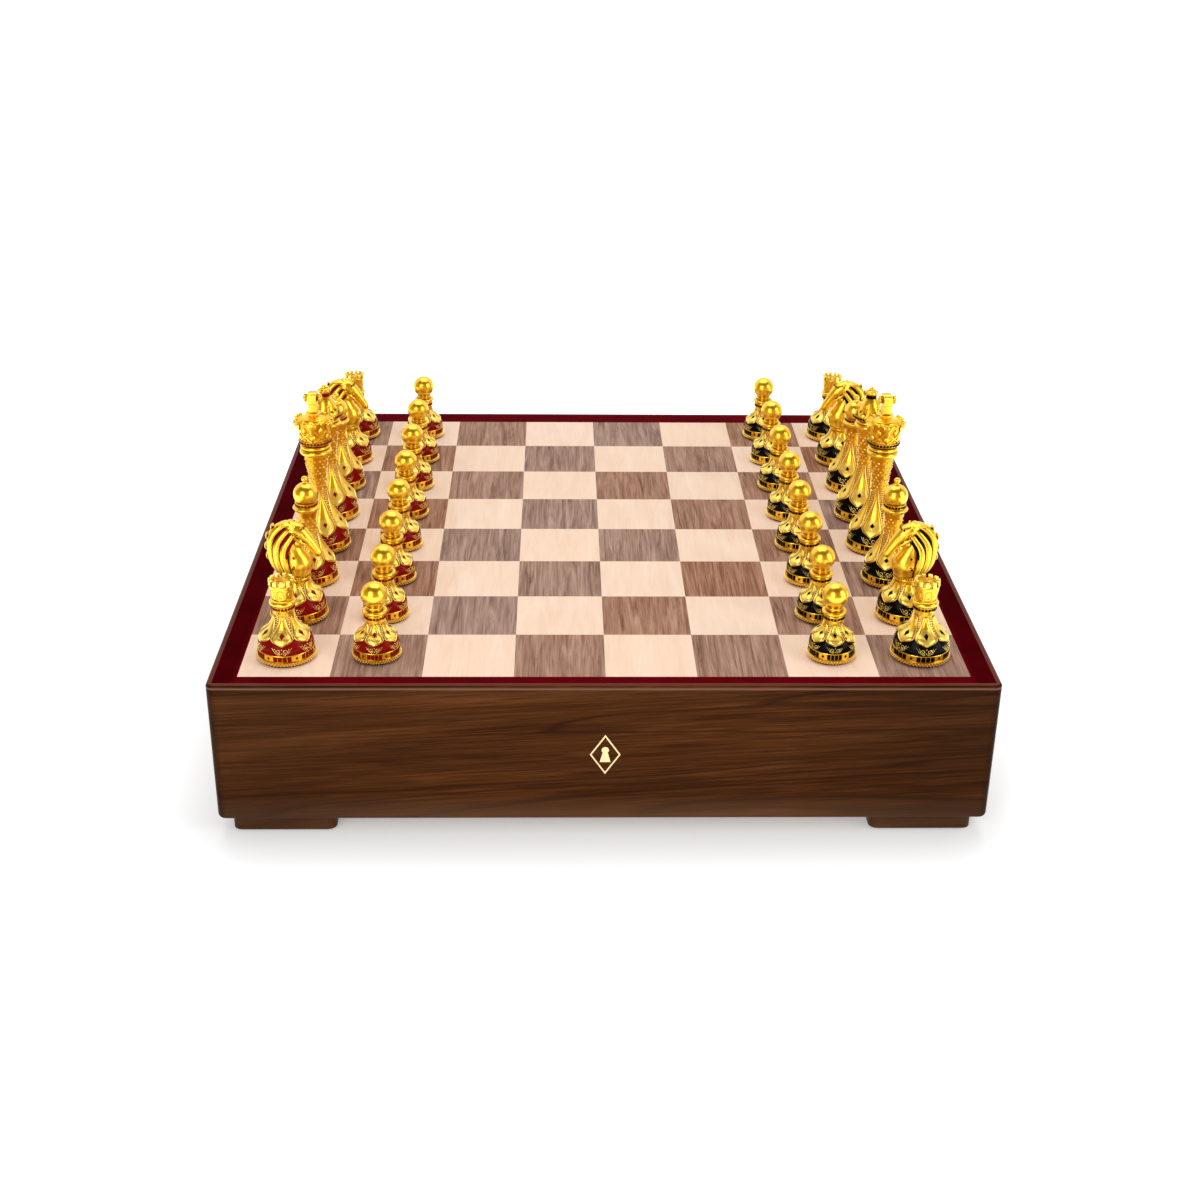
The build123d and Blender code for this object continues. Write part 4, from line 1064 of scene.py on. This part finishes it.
def knightShell():
    # looks along +X: the neck and the head are ovals carried along bent paths, the mane is ropes over them
    p = SimpleNamespace(**knightSizes)
    stretches, side, waist = footOf(p)
    stretches += [
        halfRound(p.collar, waist, 1.6, p.waist, 7),
        halfRound(p.collar - 0.5, waist + 1.6, 1.2, p.waist - 0.4, 6),
        line((p.waist - 0.6, waist + 2.8), (0.5, waist + 3.2)),
    ]
    parts = dressed(p, stretches, side)
    ringSide = np.array([(p.collar - 0.4, waist - 1), (p.collar - 0.4, waist + 4)])
    parts.append(wrapped(shifted(bead(0.55), (0.0, waist + 1.7)), ringSide, evenly(p.pearls)))
    # from here on heights are measured from the waist
    t = np.linspace(0, 1, 26)
    neck = bend([(0.6, 0, 2.2), (3.2, 0, 10), (-1.5, 0, 17), (-5.5, 0, 26), (1.0, 0, 32.5)], 26)
    # the neck's half depth and half width, fullest low down, then the head's, and the mane's fullness
    chest = 6.0 + 2.9 * np.exp(-((t - 0.22) / 0.17) ** 2) - 1.6 * t
    breadth = 6.2 + 1.9 * np.exp(-((t - 0.22) / 0.18) ** 2) - 2.4 * t
    head = bend([(-3.2, 0, 30.0), (1.5, 0, 31.5), (7.5, 0, 24.0), (11.5, 0, 18.0), (14.2, 0, 13.2)], 26)
    deep = np.interp(t, [0, 0.15, 0.35, 0.6, 0.82, 0.95, 1], [3.0, 4.6, 5.0, 3.5, 2.7, 2.4, 1.4])
    wide = np.interp(t, [0, 0.15, 0.35, 0.6, 0.82, 0.95, 1], [3.2, 4.8, 4.6, 3.2, 2.6, 2.4, 1.2])
    grow = np.interp(t, [0, 0.15, 0.45, 0.7, 0.88, 1], [0.45, 0.85, 1.15, 1.0, 0.7, 0.45])
    ridge = through([(-3.5, 0, 32.6), (-8.6, 0, 31.6), (-13.0, 0, 26.0), (-13.4, 0, 15.0), (-11.0, 0, 8.0),
                     (-6.6, 0, 1.8)], 26)
    figure = [
        rope(neck, breadth, chest, standingOff(neck, -1.0), 36),
        rope(head, wide, deep, standingOff(head, -1.0), 32),
        rope(ridge, 3.4 * grow, 1.6 * grow, ridge - (-3.0, 0, 15.0), 14),
    ]
    courses = [  # the middle line of each lock of the mane on one side, outermost first
        [(-2.6, 1.4, 32.6), (-7.4, 2.2, 31.0), (-12.6, 3.0, 24.8),
         (-12.9, 3.4, 14.6), (-10.6, 3.8, 7.6), (-6.3, 4.2, 1.6)],
        [(-0.6, 2.6, 31.4), (-4.4, 3.8, 28.2), (-9.0, 5.0, 21.8),
         (-9.4, 5.9, 13.6), (-7.3, 6.0, 6.6), (-5.0, 5.6, 1.6)],
        [(1.6, 3.6, 29.4), (-1.2, 4.8, 25.6), (-5.0, 6.2, 19.8),
         (-5.6, 7.3, 13.4), (-3.9, 7.6, 7.0), (-3.4, 6.8, 1.6)],
    ]
    for hand in (-1, 1):
        lines = [through(course, 26) * (1.0, hand, 1.0) for course in courses]
        figure += [rope(path, p.lockWide * grow, p.lockDeep * grow, offNeck(path, hand), 14)
                   for path in lines]
        bare = lines[2] * 1.45 - lines[1] * 0.45
        grooves = [((lines[0] + lines[1]) / 2, 1.0), ((lines[1] + lines[2])[:20] / 2, 1.0), (bare[3:15], 1.5)]
        for path, size in grooves:
            ends = np.sin(np.pi * np.linspace(0.06, 0.94, len(path))) ** 0.5
            raised, wide = path + (0, 0.55 * hand, 0), p.groove * size * ends
            figure.append(rope(raised, wide, 0.8 * ends, offNeck(path, hand), 8, enamel))
    return joined(parts + [shifted(joined(figure + knightTrim()), (0.0, 0.0, waist))])


def knightTrim():
    # crest, curled tips down the back, ears, eyes, nostrils, gems, brows, cheeks, harness and enamel tiara
    rise = np.linspace(0, 1, 18)
    crest = through([(6.2, 0, 28.6), (3.2, 0, 31.6), (-2.0, 0, 33.3), (-7.5, 0, 32.6), (-11.6, 0, 29.4)], 18)
    plume = through([(4.4, 0, 31.6), (0.6, 0, 33.4), (-3.6, 0, 33.8), (-7.6, 0, 33.2)], 18)
    arch, early = np.sin(np.pi * rise), np.sin(np.pi * rise**0.8)
    parts = [
        rope(crest, 0.4 + 3.3 * arch**0.8, 0.3 + 0.9 * arch, standingOff(crest, -1.0), 14),
        rope(plume, 0.2 + 1.9 * early**0.9, 0.2 + 0.6 * arch, standingOff(plume, -1.0), 12),
    ]
    tips = ((30.6, -11.4, 1.1), (25.2, -14.4, 1.2), (19.2, -15.2, 1.25),
            (13.2, -14.8, 1.2), (7.6, -12.4, 1.05), (3.4, -8.6, 0.8))
    for level, reach, size in tips:
        flat = curl((0, 0), 1.9 * size, 0.45, 0.6 * np.pi, 0.95, 14)
        path = stacked(reach + 0.5 + flat[:, 0] * 0.8, 0.0, level + flat[:, 1])
        parts.append(rope(path, np.linspace(1.9, 0.8, 14) * size, np.linspace(0.75, 0.35, 14) * size,
                          standingOff(path)))
    for hand in (-1, 1):
        sideways, outward = (-1.0 * hand, 0.0, 0.0), (0.0, 1.0 * hand, 0.0)
        ear = bend([(1.6, 2.2 * hand, 30.5), (1.2, 3.0 * hand, 33.0), (0.2, 3.2 * hand, 34.0)], 10)
        narrowing = 1.5 * np.sin(np.pi * np.linspace(0.35, 0.98, 10))
        parts.append(rope(ear, narrowing, 0.8, (1.0, 0.2 * hand, 0.0), 10))
        spots = [((4.6, 4.45, 27.0), bead(0.75, 8)), ((13.2, 2.1, 14.6), bead(0.6, 8, enamel)),
                 ((0.2, 7.4, 15.0), gem(1.9, 2.2)), ((-0.6, 8.1, 8.6), gem(1.9, 2.2))]
        parts += [facing(form, np.multiply(place, (1, hand, 1)), sideways) for place, form in spots]
        brow = bend([(4.8, 3.4 * hand, 28.9), (6.6, 3.9 * hand, 27.6), (7.6, 3.6 * hand, 25.6)], 9)
        rosette = joined([bead(1.1, 10), shifted(bead(0.55), polar(1.45, evenly(8)))])
        strap = bend([(0.8, 5.0 * hand, 25.8), (3.0, 5.4 * hand, 24.0), (6.4, 4.2 * hand, 21.6)], 12)
        parts += [
            rope(brow, 0.5, 0.5, outward, 6),
            shifted(ball(3.1, 18, 12, (1.0, 0.62, 1.1)), (2.4, 3.0 * hand, 22.6)),
            facing(rosette, (0.6, 5.1 * hand, 27.2), sideways),
            rope(strap, 0.8, 0.35, outward),
            facing(gem(0.9, 1.1), strap[1::3] + (0, 0.45 * hand, 0), sideways),
        ]
    turn = np.radians(np.array([-52.0, -26.0, 0.0, 26.0, 52.0]))
    places = stacked(2.0 + 4.2 * np.cos(turn), 4.4 * np.sin(turn), 31.2)
    return parts + [facing(gem(1.5, 1.9), places, stacked(-np.sin(turn), np.cos(turn), 0.0))]


# the set on the board

goldTone = {
    "polished": ((1.0, 0.65, 0.06), 0.28),  # colour and roughness
    "cast": ((1.0, 0.76, 0.16), 0.36),
    # darker satin gold on grooves, stems, hollows and the sides of the rim: painted shade
    "satinShade": ((0.80, 0.39, 0.015), 0.32),
    # paler gold on beads, wires and petal rims: painted highlight
    "paleHighlight": ((1.0, 0.80, 0.26), 0.42),
    "wear": 500.0, "wearShares": (0.94, 1.07),  # the gloss wanders between these shares of itself
    "recess": (0.22, 0.07, 0.005), "recessFrom": (0.28, 0.78), "recessReach": 0.0016,  # painted shade in the hollows
    "stipple": 1900.0, "stippleDepth": 0.0002, "stippleShare": 0.55,  # dents per metre, metres, strength
}
enamelTone = {"red": srgb(150, 14, 5), "black": srgb(7, 6, 6), "gloss": 0.22, "shine": 0.06, "cloud": 900.0}


def makeGold(kind):
    # plated metal with painted shade in its hollows, but for the pale one; the cast finish is stippled as
    # well
    g = SimpleNamespace(**goldTone)
    colour, rough = goldTone[kind]
    mat, tree, shader, where = wornMetal(kind + "Gold", colour, rough, (g.wear,) * 3, *g.wearShares)
    if kind != "paleHighlight":
        # painted shade: the colour darkens where the surface is hemmed in
        reach = {"Distance": g.recessReach}
        near = add(tree, "ShaderNodeAmbientOcclusion", reach, samples=6, only_local=True)
        unshaded = ranged(tree, near.outputs["AO"], g.recessFrom)
        paint(tree, shader, mixed(tree, unshaded, (*g.recess, 1), (*colour, 1)))
    if kind == "cast":
        bump(tree, shader, stretched(tree, where, (g.stipple,) * 3, 1.0), g.stippleDepth, g.stippleShare)
    return mat


def makeEnamel(tone):
    # glass enamel: deep colour with faint clouds under a hard gloss
    colour = enamelTone[tone]
    mat, tree, shader = startFinish(tone + "Enamel", colour, enamelTone["gloss"], shine=enamelTone["shine"])
    cloud = stretched(tree, objectPlace(tree), (enamelTone["cloud"],) * 3, 3.0)
    paint(tree, shader, clouded(tree, cloud, colour, 0.55, 0.3, 0.7))
    return mat


gold, castGold, satinShadeGold, paleHighlightGold = (makeGold(kind) for kind in ("polished", "cast", "satinShade", "paleHighlight"))
enamels = {tone: makeEnamel(tone) for tone in ("red", "black")}


def shown(name, data):
    # a new object in the scene
    made = bpy.data.objects.new(name, data)
    bpy.context.scene.collection.objects.link(made)
    return made


def putPiece(node, shell, tone):
    # the form moved from its own axis to its square, turned to face the other player, in metres
    low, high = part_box(node)
    middle = (np.array(low) + np.array(high)) / 2
    hand = -1 if tone == "black" else 1
    verts = shell["verts"] * (hand * mm, hand * mm, mm) + (middle[0], middle[1], low[2])
    mesh = bpy.data.meshes.new(node + "_form")
    quads, tris = shell["quads"], shell["tris"]
    corners = np.concatenate([quads.ravel(), tris.ravel()]).astype(np.int32)
    counts = np.repeat([4, 3], [len(quads), len(tris)]).astype(np.int32)
    slots = np.concatenate([shell["quadColours"], shell["triColours"]]).astype(np.int32)
    mesh.vertices.add(len(verts))
    mesh.loops.add(len(corners))
    mesh.polygons.add(len(counts))
    mesh.vertices.foreach_set("co", verts.astype(np.float32).ravel())
    mesh.loops.foreach_set("vertex_index", corners)
    mesh.polygons.foreach_set("loop_start", np.cumsum(counts, dtype=np.int32) - counts)
    mesh.polygons.foreach_set("loop_total", counts)
    mesh.polygons.foreach_set("material_index", slots)
    for mat in (gold, castGold, enamels[tone], padFelt, satinShadeGold, paleHighlightGold):
        mesh.materials.append(mat)
    mesh.update()
    mesh.validate()
    mesh.shade_smooth()
    mesh.set_sharp_from_angle(angle=np.radians(44))
    piece = shown(node + "_form", mesh)
    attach(piece, node + "_body")
    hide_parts(node)


plain = {"pawn": pawnShell(), "rook": rookShell(), "knight": knightShell()}
petalTurn = {"red": np.radians(21.0), "black": np.radians(-21.0)}  # how the petals of the tall pieces stand
shells = {tone: {**plain, "bishop": bishopShell(turn), "queen": queenShell(turn), "king": kingShell(turn)}
          for tone, turn in petalTurn.items()}
for kind, shell in shells["red"].items():
    faces, top = 2 * len(shell["quads"]) + len(shell["tris"]), round(shell["verts"][:, 2].max(), 2)
    print(kind, "has", faces, "triangles, top", top)
officers = ("front_rook", "front_knight", "front_bishop", "king",
            "queen", "back_bishop", "back_knight", "back_rook")
for tone in ("red", "black"):
    for name in officers:
        putPiece(f"{tone}_{name}", shells[tone][name.split("_")[-1]], tone)
    for number in range(1, 9):
        putPiece(f"{tone}_pawn_{number}", shells[tone]["pawn"], tone)
print("32 pieces stand on the board")


# light, floor and camera

studio = {
    "worldLight": 0.42,
    "floorGlow": (0.30, 1.0),  # added for the camera and for reflections, at the box and away from it
    "glowReach": 0.22,  # metres over which it grows
    "underBox": (0.19, 0.19, 0.0),  # half the box that it starts from
    "floorColour": 0.80, "floorRough": 0.9, "floorHalf": 4.0,
    "screen": (0.42, 0.29, 0.12), "roof": (0.18, 0.10, 0.03),  # what polished metal sees in front and above
    "screenRadius": 2.6, "screenHeight": 2.3, "screenSteps": 41,
    "screenOpen": 80.0,  # degrees left open each side of the back
    "lamps": {  # place, what it looks at, size across and up, power
        "overhead": ((0.0, 0.35, 1.75), (0.0, 0.0, 0.1), (1.5, 1.1), 14.0),
        "leftBox": ((-0.85, -1.60, 0.75), (0.0, 0.0, 0.15), (0.8, 1.2), 12.5),
        "rightBox": ((1.50, -0.85, 0.70), (0.0, 0.0, 0.15), (0.8, 1.2), 11.5),
    },
}

shot = {
    "place": (-0.02570, -1.02532, 0.54503),  # metres, from the middle of the box
    "pitch": 0.455007, "yaw": -0.0268222, "roll": 0.0128459,  # radians
    "lens": 51.4614, "film": 36.0, "reach": (0.01, 50),
}


def backgroundRays(tree):
    # 1 for rays that see the background: straight from the camera, mirrored or through glass
    path = add(tree, "ShaderNodeLightPath").outputs
    seen = math(tree, "ADD", path["Is Camera Ray"], path["Is Glossy Ray"], True)
    return math(tree, "ADD", seen, path["Is Transmission Ray"], True)


def lightWorld():
    # white where a ray sees the background, weaker where it only lights the scene
    world = bpy.data.worlds.new("studioWorld")
    bpy.context.scene.world = world
    world.use_nodes = True
    tree = world.node_tree
    back = tree.nodes["Background"]
    back.inputs["Color"].default_value = (1, 1, 1, 1)
    level = ranged(tree, backgroundRays(tree), (0.0, 1.0), (studio["worldLight"], 1.0))
    tree.links.new(level, back.inputs["Strength"])


def makeLamp(name, place, target, size, power):
    # a rectangle of light whose own Z axis points away from what it looks at
    data = bpy.data.lights.new(name, "AREA")
    data.shape = "RECTANGLE"
    data.size, data.size_y = size
    data.energy = power
    back = unit(np.array(place) - np.array(target))
    right = unit(np.cross((0, 0, 1), back))
    turn = np.column_stack([right, np.cross(back, right), back])
    shown(name, data).matrix_world = Matrix.Translation(place) @ Matrix(turn.tolist()).to_4x4()


def showStage(name, points, faces, mat, shader, light):
    # a form of the studio, which isn't part of the box, with a light of its own
    mesh = bpy.data.meshes.new(name)
    mesh.from_pydata(points, [], faces)
    mesh.materials.append(mat)
    shader.inputs["Emission Color"].default_value = (*light, 1)
    made = shown(name, mesh)
    return made


def makeFloor():
    # paper that glows towards the background's white with the distance from the box
    half = studio["floorHalf"]
    points = [(-half, -half, 0), (half, -half, 0), (half, half, 0), (-half, half, 0)]
    colour = (studio["floorColour"],) * 3
    mat, tree, shader = startFinish("floorPaper", colour, studio["floorRough"], shine=0.0)
    side = vector(tree, "ABSOLUTE", objectPlace(tree))
    beyond = vector(tree, "MAXIMUM", vector(tree, "SUBTRACT", side, studio["underBox"]), (0.0, 0.0, 0.0))
    away = vector(tree, "LENGTH", beyond, output="Value")
    smooth = {"interpolation_type": "SMOOTHSTEP"}
    grown = ranged(tree, away, (0.0, studio["glowReach"]), studio["floorGlow"], **smooth)
    tree.links.new(product(tree, backgroundRays(tree), grown), shader.inputs["Emission Strength"])
    showStage("studioFloor", points, [(0, 1, 2, 3)], mat, shader, (1, 1, 1))


def hangScreens():
    # a warm screen round the front and a darker one overhead, seen only in polished metal and lacquer
    steps = studio["screenSteps"]
    around = np.radians(np.linspace(90 + studio["screenOpen"], 450 - studio["screenOpen"], steps))
    ring = stacked(*polar(studio["screenRadius"], around).T, 0.0)
    here = np.arange(steps - 1)
    quads = np.column_stack([here, here + 1, here + steps + 1, here + steps])
    roof = ring + (0, 0, studio["screenHeight"])
    shapes = {"screen": (np.concatenate([ring, roof]).tolist(), quads.tolist()),
              "roof": (roof.tolist(), [list(range(steps))])}
    for name, (points, faces) in shapes.items():
        mat, _, shader = startFinish(name + "Cloth", (0.0, 0.0, 0.0), 1.0, shine=0.0)
        shader.inputs["Emission Strength"].default_value = 1.0
        screen = showStage(name, points, faces, mat, shader, studio[name])
        screen.visible_camera = screen.visible_diffuse = screen.visible_shadow = False


def placeCamera():
    # level view looking along +Y, tipped down by pitch, turned by yaw, then rolled about its own line
    cp, sp = np.cos(shot["pitch"]), np.sin(shot["pitch"])
    cy, sy = np.cos(shot["yaw"]), np.sin(shot["yaw"])
    cr, sr = np.cos(shot["roll"]), np.sin(shot["roll"])
    level = np.array([[1, 0, 0], [0, -sp, -cp], [0, cp, -sp]])  # rows: right, down, forward
    turned = level @ np.array([[cy, sy, 0], [-sy, cy, 0], [0, 0, 1]])
    right, down, forward = np.array([[cr, -sr, 0], [sr, cr, 0], [0, 0, 1]]) @ turned
    data = bpy.data.cameras.new("photoCamera")
    data.lens, data.sensor_width = shot["lens"], shot["film"]
    data.clip_start, data.clip_end = shot["reach"]
    camera = shown("photoCamera", data)
    turn = Matrix(np.column_stack([right, -down, -forward]).tolist()).to_4x4()
    camera.matrix_world = Matrix.Translation(shot["place"]) @ turn
    bpy.context.scene.camera = camera


lightWorld()
for name, lamp in studio["lamps"].items():
    makeLamp(name, *lamp)
makeFloor()
hangScreens()
placeCamera()
bpy.context.scene.view_settings.view_transform = "Standard"
print("light, floor and camera set")
